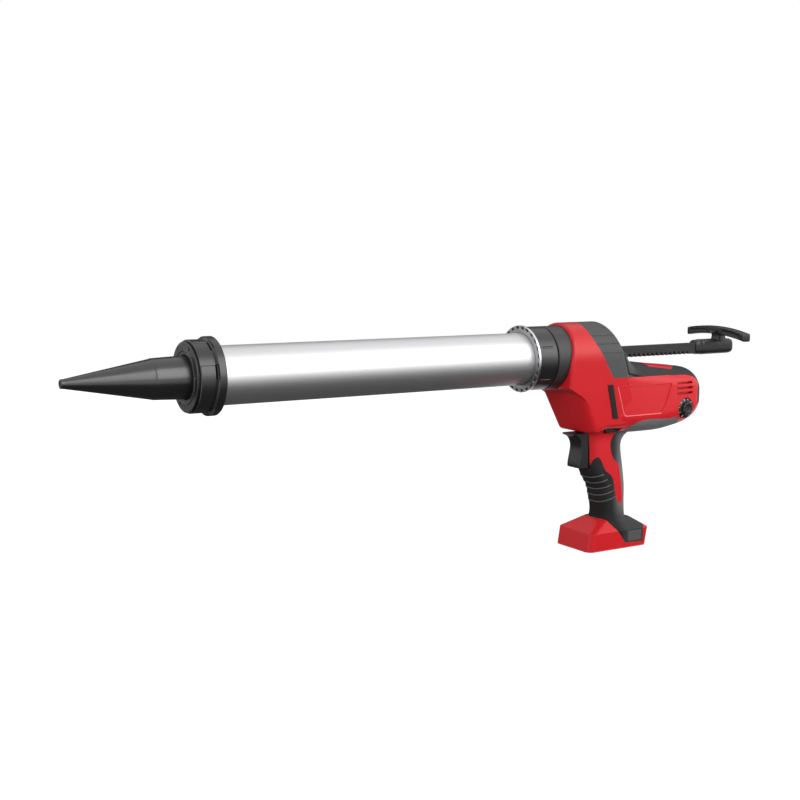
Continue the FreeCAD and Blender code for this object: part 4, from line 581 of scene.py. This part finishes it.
# %% Speed dial
KNURLS, KNURL_DEEP, FLUTES, FLUTE_DEEP = 30, 0.45, 10, 0.9
dial_line = spaced(soften(dial_wall, 0.35, 4), 0.7)
dial_angle = np.linspace(0, 2 * np.pi, 300, endpoint=False)[None, :]
dial_y, dial_r = dial_line[:, :1], np.maximum(dial_line[:, 1:], 0) + 0 * dial_angle
knurl = KNURL_DEEP * (1 - teeth(dial_angle, KNURLS, 0.5, 0.15)) * (dial_r > DIAL_R - 0.2)
flute = FLUTE_DEEP * (0.5 - 0.5 * np.cos(FLUTES * dial_angle))
flute = flute * window(dial_y, DIAL_FACE - 1, SKIRT_AT - 1.0, 0.4)
flute = flute * window(dial_r, 5.5, KNOB_R + 0.1, 1.5)
dial_points = about_dial(dial_y, dial_r - knurl - flute, dial_angle)
speed_knob = ring_piece("speed_knob", dial_points, satin_black, "dial", 28.0)
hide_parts("speed_dial")

# %% Dial marks
MARKS, MARK_SPAN, MARK_HALF, MARK_PROUD = 10, 150, 0.35, 0.15
BAR_END = np.array([0, 1, 1, 0, 0, 1, 1, 0])
BAR_SIDE = np.array([-1, -1, 1, 1, -1, -1, 1, 1])
BAR_OUT = np.array([1, 1, 1, 1, -1, -1, -1, -1])
BAR_FACES = np.array(
    [(0, 1, 2, 3), (7, 6, 5, 4), (0, 4, 5, 1), (1, 5, 6, 2), (2, 6, 7, 3), (3, 7, 4, 0)])
mark_angle = np.radians(np.linspace(-MARK_SPAN, MARK_SPAN, MARKS))
mark_r = np.array([KNOB_R + 1.1, DIAL_R - 0.35])
mark_y = np.interp(mark_r, [SLOPE_TOP[1], SLOPE_FOOT[1]], [SLOPE_TOP[0], SLOPE_FOOT[0]])
corner_r = mark_r[BAR_END]
corner_y = mark_y[BAR_END] - BAR_OUT * MARK_PROUD
corner_angle = mark_angle[:, None] + BAR_SIDE * MARK_HALF / corner_r
mark_points = about_dial(corner_y[None, :], corner_r[None, :], corner_angle)
mark_faces = (BAR_FACES[None] + 8 * np.arange(MARKS)[:, None, None]).reshape(-1, 4)
mesh_piece("dial_marks", mark_points.reshape(-1, 3), mark_faces, mark_white, "dial")

# %% [markdown]
# The pull handle at the rod's rear end is a T: a sleeve pinned on the rod, a short stem and a bowed bar.
# Boxes with bevels would give its size but not its moulded swell. Each of the three is a rounded
# section carried along a line, a superellipse that is nearly a rectangle, with its size a function of
# the place along the line.

# %% Pull sleeve
pull_low, pull_high = node_box("pull_handle")
SLEEVE_HALF_W, SLEEVE_POWER = 7.7, 3.4
SLEEVE_LOW, SLEEVE_TOP = pull_low[2], pull_low[2] + 18.2
# Rows: place from the sleeve's front, share of the full section there.
SLEEVE_SHAPE = np.array([
    (0.0, 0.74), (0.4, 0.80), (1.4, 0.87), (3.2, 0.95), (7.6, 0.96), (8.2, 0.95), (8.6, 0.90),
    (9.6, 0.90), (10.0, 0.96), (10.8, 1.0), (14.0, 1.0), (30.0, 1.0), (50.0, 1.0), (54.0, 0.99),
    (57.0, 0.96), (59.2, 0.90), (60.8, 0.80), (61.7, 0.68), (62.0, 0.55),
])


def oval(angle, half_a, half_b, power):
    """Superellipse: a = half_a |cos|^(2/power), b = half_b |sin|^(2/power), each with its own sign."""
    c, s = np.cos(angle), np.sin(angle)
    a = half_a * np.sign(c) * np.abs(c) ** (2 / power)
    b = half_b * np.sign(s) * np.abs(s) ** (2 / power)
    return a, b


section = np.linspace(0, 2 * np.pi, 72, endpoint=False)[None, :]
sleeve_x, sleeve_size = SLEEVE_SHAPE[:, :1] + pull_low[0], SLEEVE_SHAPE[:, 1:]
sleeve_y, sleeve_z = oval(section, SLEEVE_HALF_W, (SLEEVE_TOP - SLEEVE_LOW) / 2, SLEEVE_POWER)
sleeve_points = np.stack([
    sleeve_x + 0 * section,
    sleeve_size * sleeve_y,
    (SLEEVE_LOW + SLEEVE_TOP) / 2 + sleeve_size * sleeve_z,
], -1)
pull_sleeve = tube_piece("pull_sleeve", sleeve_points, satin_black, "rack", 40.0)
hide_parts("pull_handle")

# %% Pull bar
BAR_HALF_X, BAR_HALF_Z, BAR_POWER = 6.5, 4.8, 5.0
BAR_X, BAR_HALF, BAR_Z = pull_high[0] - 20.0, pull_high[1], pull_high[2] - BAR_HALF_Z
BAR_DROOP, BAR_LEAN, BAR_ROUND_FROM, BAR_LEAST = 5.0, 0.046, 0.965, 0.02
POCKET_FROM, POCKET_TO, POCKET_HALF, POCKET_DEEP = 0.30, 0.82, 2.0, 1.0
bar_t = np.sin(np.linspace(-np.pi / 2, np.pi / 2, 91))[:, None]
bar_tip = np.clip((np.abs(bar_t) - BAR_ROUND_FROM) / (1 - BAR_ROUND_FROM), 0, 1)
bar_size = np.maximum((1 - bar_tip ** 3) ** (1 / 3), BAR_LEAST)
bar_dx, bar_dz = oval(section, BAR_HALF_X, BAR_HALF_Z, BAR_POWER)
pocket = window(np.abs(bar_t), POCKET_FROM, POCKET_TO, 0.06)
pocket = pocket * window(np.abs(bar_dz), 0, POCKET_HALF, 1.0)
bar_points = np.stack([
    BAR_X + bar_size * bar_dx - POCKET_DEEP * pocket * np.sign(bar_dx),
    BAR_HALF * bar_t + 0 * section,
    BAR_Z - BAR_DROOP * bar_t ** 2 + BAR_LEAN * BAR_HALF * bar_t + bar_size * bar_dz,
], -1)
tube_piece("pull_bar", bar_points, satin_black, "rack", 40.0)

# %% Pull stem
STEM_HALF_X, STEM_HALF_Y, STEM_POWER, STEM_FLARE = 7.5, 6.0, 4.0, 0.30
STEM_BACK, STEM_SUNK, STEM_MORE = 0.6, 3.0, 2.5
stem_t = np.linspace(0, 1, 15)[:, None]
stem_flare = 1 + STEM_FLARE * np.abs(2 * stem_t - 1) ** 2
stem_dx, stem_dy = oval(section, STEM_HALF_X, STEM_HALF_Y, STEM_POWER)
stem_points = np.stack([
    BAR_X + STEM_BACK + stem_flare * stem_dx,
    stem_flare * stem_dy,
    SLEEVE_TOP - STEM_SUNK + (BAR_Z - SLEEVE_TOP + STEM_MORE) * stem_t + 0 * section,
], -1)
tube_piece("pull_stem", stem_points, satin_black, "rack", 40.0)

# %% [markdown]
# The front of the grip has five fine ridges that a hand feels. A bump map would vanish at the outline,
# so each is a bead whose line runs round the rounded front of the handle on a plane that climbs to the
# rear: the bead's section is a circle sunk into the rubber, and it shrinks away at both ends.

# %% Line of a ridge
RIDGES, RIDGE_PITCH, RIDGE_R, RIDGE_RISE = 5, 8.3, 0.7, np.tan(np.radians(17.0))
RIDGE_TOP_Z, RIDGE_PLANE_X, RIDGE_TAIL, RIDGE_TAIL_MORE = -0.4, 32.0, 2.0, 1.7
RIDGE_FLAT, RIDGE_BEND, RIDGE_SUNK = 0.12, 0.70, 0.15
GRIP_FRONT_Z = np.array([-36.0, -30.0, -21.0, -15.0, -9.0, -6.0, -3.0, 0.0, 3.0, 6.0, 9.0])
GRIP_FRONT_X = np.array(
    [-15.5, -16.8, -19.0, -20.4, -22.8, -24.7, -26.7, -28.7, -30.4, -31.9, -33.0])
GRIP_ROUND, GRIP_HALF = 14.0, 17.0
ridge_t = np.linspace(-1, 1, 121)[:, None]
ridge_turn = np.clip((np.abs(ridge_t) - RIDGE_FLAT) / (RIDGE_BEND - RIDGE_FLAT), 0, 1) * np.pi / 2
ridge_ring = np.linspace(0, 2 * np.pi, 12, endpoint=False)[None, :]
ridge_size = RIDGE_R * np.sqrt(np.clip(1 - np.abs(ridge_t) ** 6, 0, 1)) + 0.02
print("ridges climb", round(RIDGE_RISE, 3), "per millimetre")


# %% Grip ridges
def ridge(number):
    """Points of one bead: on the section at height z the line is front + R (1 - cos p) back and
    R sin p to the side, and z climbs with x, so height and front are settled together in a few
    rounds."""
    start = RIDGE_TOP_Z - RIDGE_PITCH * number
    z = np.full_like(ridge_t, start)
    tail = np.clip((np.abs(ridge_t) - RIDGE_BEND) / (1 - RIDGE_BEND), 0, 1)
    straight = (RIDGE_TAIL + RIDGE_TAIL_MORE * number) * tail
    for _ in range(8):
        front = np.interp(z, GRIP_FRONT_Z, GRIP_FRONT_X)
        x = front + GRIP_ROUND * (1 - np.cos(ridge_turn)) + straight
        z = start + RIDGE_RISE * (x + RIDGE_PLANE_X)
    side = np.sign(ridge_t)
    flat = (GRIP_HALF - GRIP_ROUND) * np.clip(np.abs(ridge_t) / RIDGE_FLAT, 0, 1)
    y = side * (flat + GRIP_ROUND * np.sin(ridge_turn))
    out = ridge_size * np.cos(ridge_ring) - RIDGE_SUNK
    return np.stack([
        x - out * np.cos(ridge_turn),
        y + out * side * np.sin(ridge_turn),
        z + ridge_size * np.sin(ridge_ring),
    ], -1)


for number in range(RIDGES):
    name = "grip_ridge_%d" % (number + 1)
    tube_piece(name, ridge(number), ridge_rubber, "housing", 60.0)

# %% [markdown]
# A moulded line frames the plain panel on each side of the motor body. It runs along the panel's
# outline as a thin bead, and it follows the larger of the head's leaning side and the motor body's
# swell, which a Shrinkwrap modifier would also find, less evenly. Its front and lower runs are a paler
# red, a painted highlight where that edge catches the light.

# %% Side of the housing
HEAD_HALF, HEAD_LEAN, HEAD_HALF_Z = 38.197, 0.0734, 137.195
HEAD_REAR_X, HEAD_REAR_SLOPE, HEAD_TOP_Z = -19.0, 0.38, 178.3
MOTOR_X = np.array([-16.0, -4.0, 14.0, 36.0, 66.0, 100.0])
MOTOR_HALF = np.array([32.6, 33.9, 34.9, 34.5, 33.4, 31.5])


def head_rear(z):
    """Place along X of the head's sloping rear at height z."""
    return HEAD_REAR_X + HEAD_REAR_SLOPE * (HEAD_TOP_Z - z)


def side_at(x, z):
    """Half width of the housing at a place on its side: the head's side leans in by HEAD_LEAN per
    millimetre below the barrel's axis and stops at its sloping rear, and the motor body's half width
    follows x."""
    head = HEAD_HALF - HEAD_LEAN * (HEAD_HALF_Z - z)
    head = np.where(x < head_rear(z), head, 0)
    return np.maximum(head, np.interp(x, MOTOR_X, MOTOR_HALF))


print("motor body is widest at", 2 * MOTOR_HALF.max())

# %% Panel bead
PANEL = np.array([(-14.0, 106.0), (70.0, 106.0), (62.0, 84.0), (54.0, 72.0), (-1.5, 72.0)])
BEAD_R, BEAD_SUNK, BEAD_ROUND, BEAD_STEP = 0.5, 0.22, 3.0, 1.5


def bead(corners):
    """Bead along an open run of corners: the run is rounded there and back as one closed outline, its
    first half is the line, and a circle stands across the line at each point."""
    run = spaced(soften(np.concatenate([corners, corners[::-1]]), BEAD_ROUND, 7), BEAD_STEP)
    line = run[:len(run) // 2 + 1]
    way = np.gradient(line, axis=0)
    way = way / np.linalg.norm(way, axis=1)[:, None]
    ring = np.linspace(0, 2 * np.pi, 10, endpoint=False)[None, :]
    return np.stack([
        line[:, :1] + BEAD_R * np.cos(ring) * way[:, 1:],
        side_at(line[:, :1], line[:, 1:]) - BEAD_SUNK + BEAD_R * np.sin(ring),
        line[:, 1:] - BEAD_R * np.cos(ring) * way[:, :1],
    ], -1)


# The bead's front and lower runs are paler red as a painted highlight.
both_sides(
    ("panel_edge_highlight", bead(PANEL[[0, 4, 3]]), edge_red_painted_highlight, "red_shell", 60.0),
    ("panel_line", bead(PANEL[[3, 2, 1, 0]]), moulded_red, "red_shell", 60.0),
)

# %% [markdown]
# Behind the arch the soft cover sweeps down on to the motor body. A bevel can't fill a hollow that
# changes its size, so the sweep is a surface of its own. On top it is a hollow fillet: each section is
# a quarter arc from the arch's sloping rear to the motor body's skin, small beside the rod's channel
# and larger away from it. Round the corner the arc gives way to a long S that leaves the arch's flank
# smoothly.

# %% Skin of the motor body
MOTOR_TOP = np.array([145.0, 138.0, 133.0, 129.7, 126.1, 122.8])
MOTOR_ROUND = np.array([20.0, 21.0, 22.0, 22.0, 22.0, 22.0])


def motor_skin(x, across):
    """Place to the side, height and outward turn of the motor body's upper skin: across runs over the
    flat top in millimetres up to the corner and then round it, one radius per radian."""
    half = np.interp(x, MOTOR_X, MOTOR_HALF)
    top = np.interp(x, MOTOR_X, MOTOR_TOP)
    bend = np.interp(x, MOTOR_X, MOTOR_ROUND)
    turn = np.clip((across - (half - bend)) / bend, 0, np.pi / 2)
    y = np.minimum(across, half - bend) + bend * np.sin(turn)
    return y, top - bend + bend * np.cos(turn), turn


def on_skin(x, across, lift):
    """Points of that skin at x and across, moved out along its normal by lift."""
    y, z, turn = motor_skin(x, np.abs(across) + 0 * x)
    return np.stack([x, np.sign(across) * (y + lift * np.sin(turn)), z + lift * np.cos(turn)], -1)


print("motor body's top falls from", MOTOR_TOP[0], "to", MOTOR_TOP[-1])

# %% Size of the flare
FLARE_CLEAR, FLARE_REACH, FLARE_MOST, FLARE_FLANK = 9.8, 41.0, 16.0, 26.0
FLARE_ROOM, FLARE_LEAST, FLARE_GROW = 0.97, 0.12, 7.0
FLANK_FROM, FLANK_OVER, HEAD_INSIDE_X = 0.30, 0.90, -30.0
flare_s = np.linspace(FLARE_CLEAR, FLARE_REACH, 57)[:, None]
flare_x = np.full_like(flare_s, 0.0)
for _ in range(30):
    flare_y, flare_z, flare_turn = motor_skin(flare_x, flare_s)
    flare_x = 0.5 * flare_x + 0.5 * head_rear(flare_z)
head_side = side_at(np.full_like(flare_z, HEAD_INSIDE_X), flare_z)
room = (head_side - flare_y) / np.maximum(np.sin(flare_turn), 0.05)
flank = np.clip((flare_turn - FLANK_FROM) / FLANK_OVER, 0, 1)
flank = flank * flank * (3 - 2 * flank)
grown = np.clip((flare_s - FLARE_CLEAR) / FLARE_GROW, 0, 1)
flare_high = np.minimum(FLARE_MOST, FLARE_ROOM * room) * (FLARE_LEAST + (1 - FLARE_LEAST) * grown)
flare_long = flare_high * (1 - flank) + FLARE_FLANK * flank
print("flare is up to", round(float(flare_high.max()), 1), "high")

# %% Cover flare
TOE_ON, TOE_SUNK, HEEL_SUNK, CREST_SUNK = 2.5, 1.2, 1.5, 1.2
flare_t = np.linspace(0, 1, 17)[None, :]
hollow_up, hollow_on = 1 - np.sin(flare_t * np.pi / 2), 1 - np.cos(flare_t * np.pi / 2)
swept_up, swept_on = 1 - flare_t * flare_t * (3 - 2 * flare_t), flare_t
flare_up = flare_high * (hollow_up * (1 - flank) + swept_up * flank)
flare_on = flare_long * (hollow_on * (1 - flank) + swept_on * flank)
ahead_y, ahead_z, _ = motor_skin(flare_x + flare_on, flare_s + 0 * flare_on)
arc = np.stack([
    flare_x + flare_on - HEAD_REAR_SLOPE * np.cos(flare_turn) * flare_up,
    ahead_y + np.sin(flare_turn) * flare_up,
    ahead_z + np.cos(flare_turn) * flare_up,
], -1)
toe = on_skin(flare_x + flare_long + TOE_ON, flare_s, -TOE_SUNK)
heel = np.stack([
    flare_x - HEEL_SUNK,
    flare_y - HEEL_SUNK * np.sin(flare_turn),
    flare_z - HEEL_SUNK * np.cos(flare_turn),
], -1)
crest = arc[:, :1] - np.array([CREST_SUNK, 0, 0])
flare_points = np.concatenate([arc, toe, heel, crest], 1)
# Its soft gray darkens towards the rear as painted shade.
both_sides(("cover_flare", flare_points, soft_gray_painted_shade, "gray_overmould", 50.0))

# %% [markdown]
# On top of the motor body the red shell shows in a window of the soft cover, and it runs round both
# upper corners. A second material on the cover would need its mesh cut, so the window is a thin raised
# patch: a grid over the motor body's skin, lifted along the outward way and closed by a second grid
# below it.

# %% Top inlay
INLAY_FRONT, INLAY_REAR, INLAY_HALF = 35.0, 89.5, 24.5
INLAY_FRONT_CUT, INLAY_REAR_CUT = 6.0, 13.0
INLAY_OUT, INLAY_UNDER = 0.3, -1.0
inlay_s = np.linspace(-INLAY_HALF, INLAY_HALF, 53)[None, :]
inlay_u = np.linspace(0, 1, 25)[:, None]
inlay_cut = (np.abs(inlay_s) / INLAY_HALF) ** 3
inlay_front = INLAY_FRONT + INLAY_FRONT_CUT * inlay_cut
inlay_rear = INLAY_REAR - INLAY_REAR_CUT * inlay_cut
inlay_x = inlay_front + (inlay_rear - inlay_front) * inlay_u
inlay_top = on_skin(inlay_x, inlay_s, INLAY_OUT)
inlay_floor = on_skin(inlay_x, inlay_s, INLAY_UNDER)
inlay_points = np.concatenate([inlay_top, inlay_floor[:, ::-1]], 1)
tube_piece("top_inlay", inlay_points, moulded_red, "housing", 50.0)

# %% [markdown]
# The three vents on each side don't look into the motor: a rib behind them turns the air, and it shows
# as a red floor in each slot. A flat plate would cut the shell's swell, so the rib is a thin plate that
# follows it a little below its skin.

# %% Vent floors
VENT_X = np.array([77.0, 81.0, 85.0, 90.0, 95.0, 100.0, 103.0, 107.0])
VENT_SKIN = np.array([33.08, 32.94, 32.75, 32.46, 32.05, 31.5, 31.07, 30.4])
VENT_LOW, VENT_HIGH, VENT_DEEP, VENT_THICK = 90.5, 107.5, 4.6, 0.8
vent_y = VENT_SKIN[:, None] - VENT_DEEP - VENT_THICK * np.array([0, 1, 1, 0])
vent_z = np.array([VENT_LOW, VENT_LOW, VENT_HIGH, VENT_HIGH]) + 0 * vent_y
vent_points = np.stack([VENT_X[:, None] + 0 * vent_y, vent_y, vent_z], -1)
both_sides(("vent_floor", vent_points, moulded_red, "red_shell", 32.0))

# %% [markdown]
# The studio. A pale floor lies under the foot, and the sky is a plain white dome to the eye and in
# reflections. Light paths tell what the eye sees from what lights the tool, so the background can be
# white while the lamps stay at a plain level.

# %% Studio helpers
def bare_tree(owner):
    """The empty node tree of a material or world."""
    owner.use_nodes = True
    owner.node_tree.nodes.clear()
    return owner.node_tree


def seen_ray(tree):
    """1 for a ray from the eye, from a reflection or through glass, and 0 for any other ray: the
    largest of the three."""
    path = tree.nodes.new("ShaderNodeLightPath")
    seen = path.outputs["Is Camera Ray"]
    for kind in ("Is Glossy Ray", "Is Transmission Ray"):
        larger = tree.nodes.new("ShaderNodeMath")
        larger.operation = "MAXIMUM"
        tree.links.new(seen, larger.inputs[0])
        tree.links.new(path.outputs[kind], larger.inputs[1])
        seen = larger.outputs[0]
    return seen


def mix_out(tree, output, share, plain, white):
    """Output of the tree that goes from plain to white as share goes from 0 to 1."""
    mix = tree.nodes.new("ShaderNodeMixShader")
    tree.links.new(share, mix.inputs["Fac"])
    tree.links.new(plain, mix.inputs[1])
    tree.links.new(white, mix.inputs[2])
    out = tree.nodes.new(output)
    tree.links.new(mix.outputs["Shader"], out.inputs["Surface"])


def flat_sheet(name, low, high, finish_of):
    """Rectangle on the stage that runs along X and climbs from its low edge to its high edge."""
    corners = [low, (high[0], low[1], low[2]), high, (low[0], high[1], high[2])]
    mesh = bpy.data.meshes.new(name)
    mesh.from_pydata(corners, [], [(0, 1, 2, 3)])
    mesh.materials.append(finish_of)
    made = bpy.data.objects.new(name, mesh)
    bpy.context.scene.collection.objects.link(made)
    print(name, "from", low, "to", high)
    return made


# %% Floor
FLOOR_HALF, FLOOR_Z = 30.0, cad_low[2] - 0.0005
FLOOR_DARK, FLOOR_PALE, FLOOR_GLOW, FLOOR_SHARE = 0.14, 0.85, 1.125, 0.86


def pale_floor():
    """White to the eye and in reflections, with a share of plain diffuse that keeps the soft shadow."""
    material = bpy.data.materials.new("pale_floor")
    tree = bare_tree(material)
    seen = seen_ray(tree)
    albedo = tree.nodes.new("ShaderNodeMix")
    albedo.data_type = "RGBA"
    albedo.inputs["A"].default_value = (FLOOR_DARK, FLOOR_DARK, FLOOR_DARK, 1)
    albedo.inputs["B"].default_value = (FLOOR_PALE, FLOOR_PALE, FLOOR_PALE, 1)
    tree.links.new(seen, albedo.inputs["Factor"])
    diffuse = tree.nodes.new("ShaderNodeBsdfDiffuse")
    tree.links.new(albedo.outputs["Result"], diffuse.inputs["Color"])
    white = tree.nodes.new("ShaderNodeEmission")
    white.inputs["Strength"].default_value = FLOOR_GLOW
    share = tree.nodes.new("ShaderNodeMath")
    share.operation = "MULTIPLY"
    share.inputs[1].default_value = FLOOR_SHARE
    tree.links.new(seen, share.inputs[0])
    mix_out(tree, "ShaderNodeOutputMaterial", share.outputs[0], diffuse.outputs["BSDF"],
            white.outputs["Emission"])
    return material


floor_low, floor_high = (-FLOOR_HALF, -FLOOR_HALF, FLOOR_Z), (FLOOR_HALF, FLOOR_HALF, FLOOR_Z)
flat_sheet("floor", floor_low, floor_high, pale_floor())

# %% [markdown]
# Cards shape the reflections, as in a product studio. Only glossy rays see them: dark ones lie on the
# floor, so that the lower half of the polished tube and the black mouldings goes dark, and one stands
# behind the tool. Painting those tones into the materials would be wrong from every other side.

# %% Cards that only reflections see
CARD_Z = FLOOR_Z + 0.002


def card_gray(name, level):
    """Plain gray of one level, which no lamp changes."""
    material = bpy.data.materials.new(name)
    tree = bare_tree(material)
    out = tree.nodes.new("ShaderNodeOutputMaterial")
    glow = tree.nodes.new("ShaderNodeEmission")
    glow.inputs["Strength"].default_value = level
    tree.links.new(glow.outputs["Emission"], out.inputs["Surface"])
    return material


cards = [
    ("barrel_card", (-0.86, -0.60, CARD_Z), (0.05, 0.75, CARD_Z), card_gray("card_dark", 0.08)),
    ("grip_card", (0.05, -0.60, CARD_Z), (1.89, -0.02, CARD_Z), card_gray("card_grip", 0.05)),
    ("front_card", (-0.18, -2.00, CARD_Z), (2.12, -0.60, CARD_Z), card_gray("card_front", 0.50)),
    ("rear_card", (-3.50, 0.80, CARD_Z), (4.00, 4.00, CARD_Z), card_gray("card_rear", 0.22)),
    ("back_card", (-1.2, 2.0, 0.10), (4.5, 2.6, 2.6), card_gray("card_back", 0.10)),
]
for name, low, high, gray in cards:
    card = flat_sheet(name, low, high, gray)
    card.visible_camera = False
    card.visible_shadow = False
    card.visible_diffuse = False

# %% Sky
SKY_LOW, SKY_HIGH, SKY_AT_LOW, SKY_AT_HIGH = 0.05, 0.95, 0.28, 0.22
world = bpy.data.worlds.new("studio")
bpy.context.scene.world = world
sky = bare_tree(world)
sky_way = sky.nodes.new("ShaderNodeTexCoord")
sky_split = sky.nodes.new("ShaderNodeSeparateXYZ")
sky.links.new(sky_way.outputs["Generated"], sky_split.inputs["Vector"])
sky_fade = sky.nodes.new("ShaderNodeMapRange")
sky_fade.inputs["From Min"].default_value = SKY_LOW
sky_fade.inputs["From Max"].default_value = SKY_HIGH
sky_fade.inputs["To Min"].default_value = SKY_AT_LOW
sky_fade.inputs["To Max"].default_value = SKY_AT_HIGH
sky.links.new(sky_split.outputs["Z"], sky_fade.inputs["Value"])
sky_light = sky.nodes.new("ShaderNodeBackground")
sky_light.inputs["Color"].default_value = (1, 1, 1, 1)
sky.links.new(sky_fade.outputs["Result"], sky_light.inputs["Strength"])
sky_white = sky.nodes.new("ShaderNodeBackground")
sky_white.inputs["Color"].default_value = (1, 1, 1, 1)
mix_out(sky, "ShaderNodeOutputWorld", seen_ray(sky), sky_light.outputs["Background"],
        sky_white.outputs["Background"])
print("sky lights the tool at", SKY_AT_LOW, "to", SKY_AT_HIGH)

# %% [markdown]
# Lamps. A large soft box stands high behind the camera, on its right, as a window would. A smaller one
# on the left lights the front of the foot, a narrow one the rear of the grip, and a broad one the
# tool's far side. Those three light the tool but leave no reflections, because a metal tube would show
# each of them as a streak.

# %% Soft boxes
def soft_box(name, place, aim, width, height, watts):
    """Rectangular area lamp at place, facing aim."""
    lamp = bpy.data.lights.new(name, "AREA")
    lamp.shape = "RECTANGLE"
    lamp.size = width
    lamp.size_y = height
    lamp.energy = watts
    made = bpy.data.objects.new(name, lamp)
    made.location = place
    made.rotation_euler = (Vector(aim) - Vector(place)).to_track_quat("-Z", "Y").to_euler()
    made.visible_camera = False
    bpy.context.scene.collection.objects.link(made)
    print(name, watts, "W")
    return made


soft_box("key_box", (0.30, -1.75, 1.25), (-0.25, 0, 0.1), 2.4, 2.0, 38.0)
soft_box("left_box", (-2.0, -0.6, 0.35), (0.0, 0, 0.0), 1.0, 1.0, 27.0).visible_glossy = False
soft_box("rear_box", (0.1, 2.0, 0.9), (-0.1, 0, 0.1), 2.2, 1.2, 34.0).visible_glossy = False
soft_box("fill_box", (1.25, -1.0, 0.45), (0.0, 0, 0.08), 0.5, 0.9, 20.0).visible_glossy = False

# %% [markdown]
# The camera stands where the photographer stood: to the left and ahead of the grip, a little above
# the barrel, about a metre and a half away, with a lens of normal length.

# %% Camera
CAMERA_AT = (-0.91068, -1.05562, 0.25326)
CAMERA_WAY = (0.5109, 0.8512, -0.1201)
CAMERA_LENS, CAMERA_SENSOR = 54.08, 36.0
camera_data = bpy.data.cameras.new("camera")
camera_data.lens = CAMERA_LENS
camera_data.sensor_width = CAMERA_SENSOR
camera = bpy.data.objects.new("camera", camera_data)
camera.location = CAMERA_AT
camera.rotation_euler = Vector(CAMERA_WAY).to_track_quat("-Z", "Y").to_euler()
bpy.context.scene.collection.objects.link(camera)
bpy.context.scene.camera = camera
bpy.context.scene.view_settings.view_transform = "Standard"
print("camera lens", CAMERA_LENS)
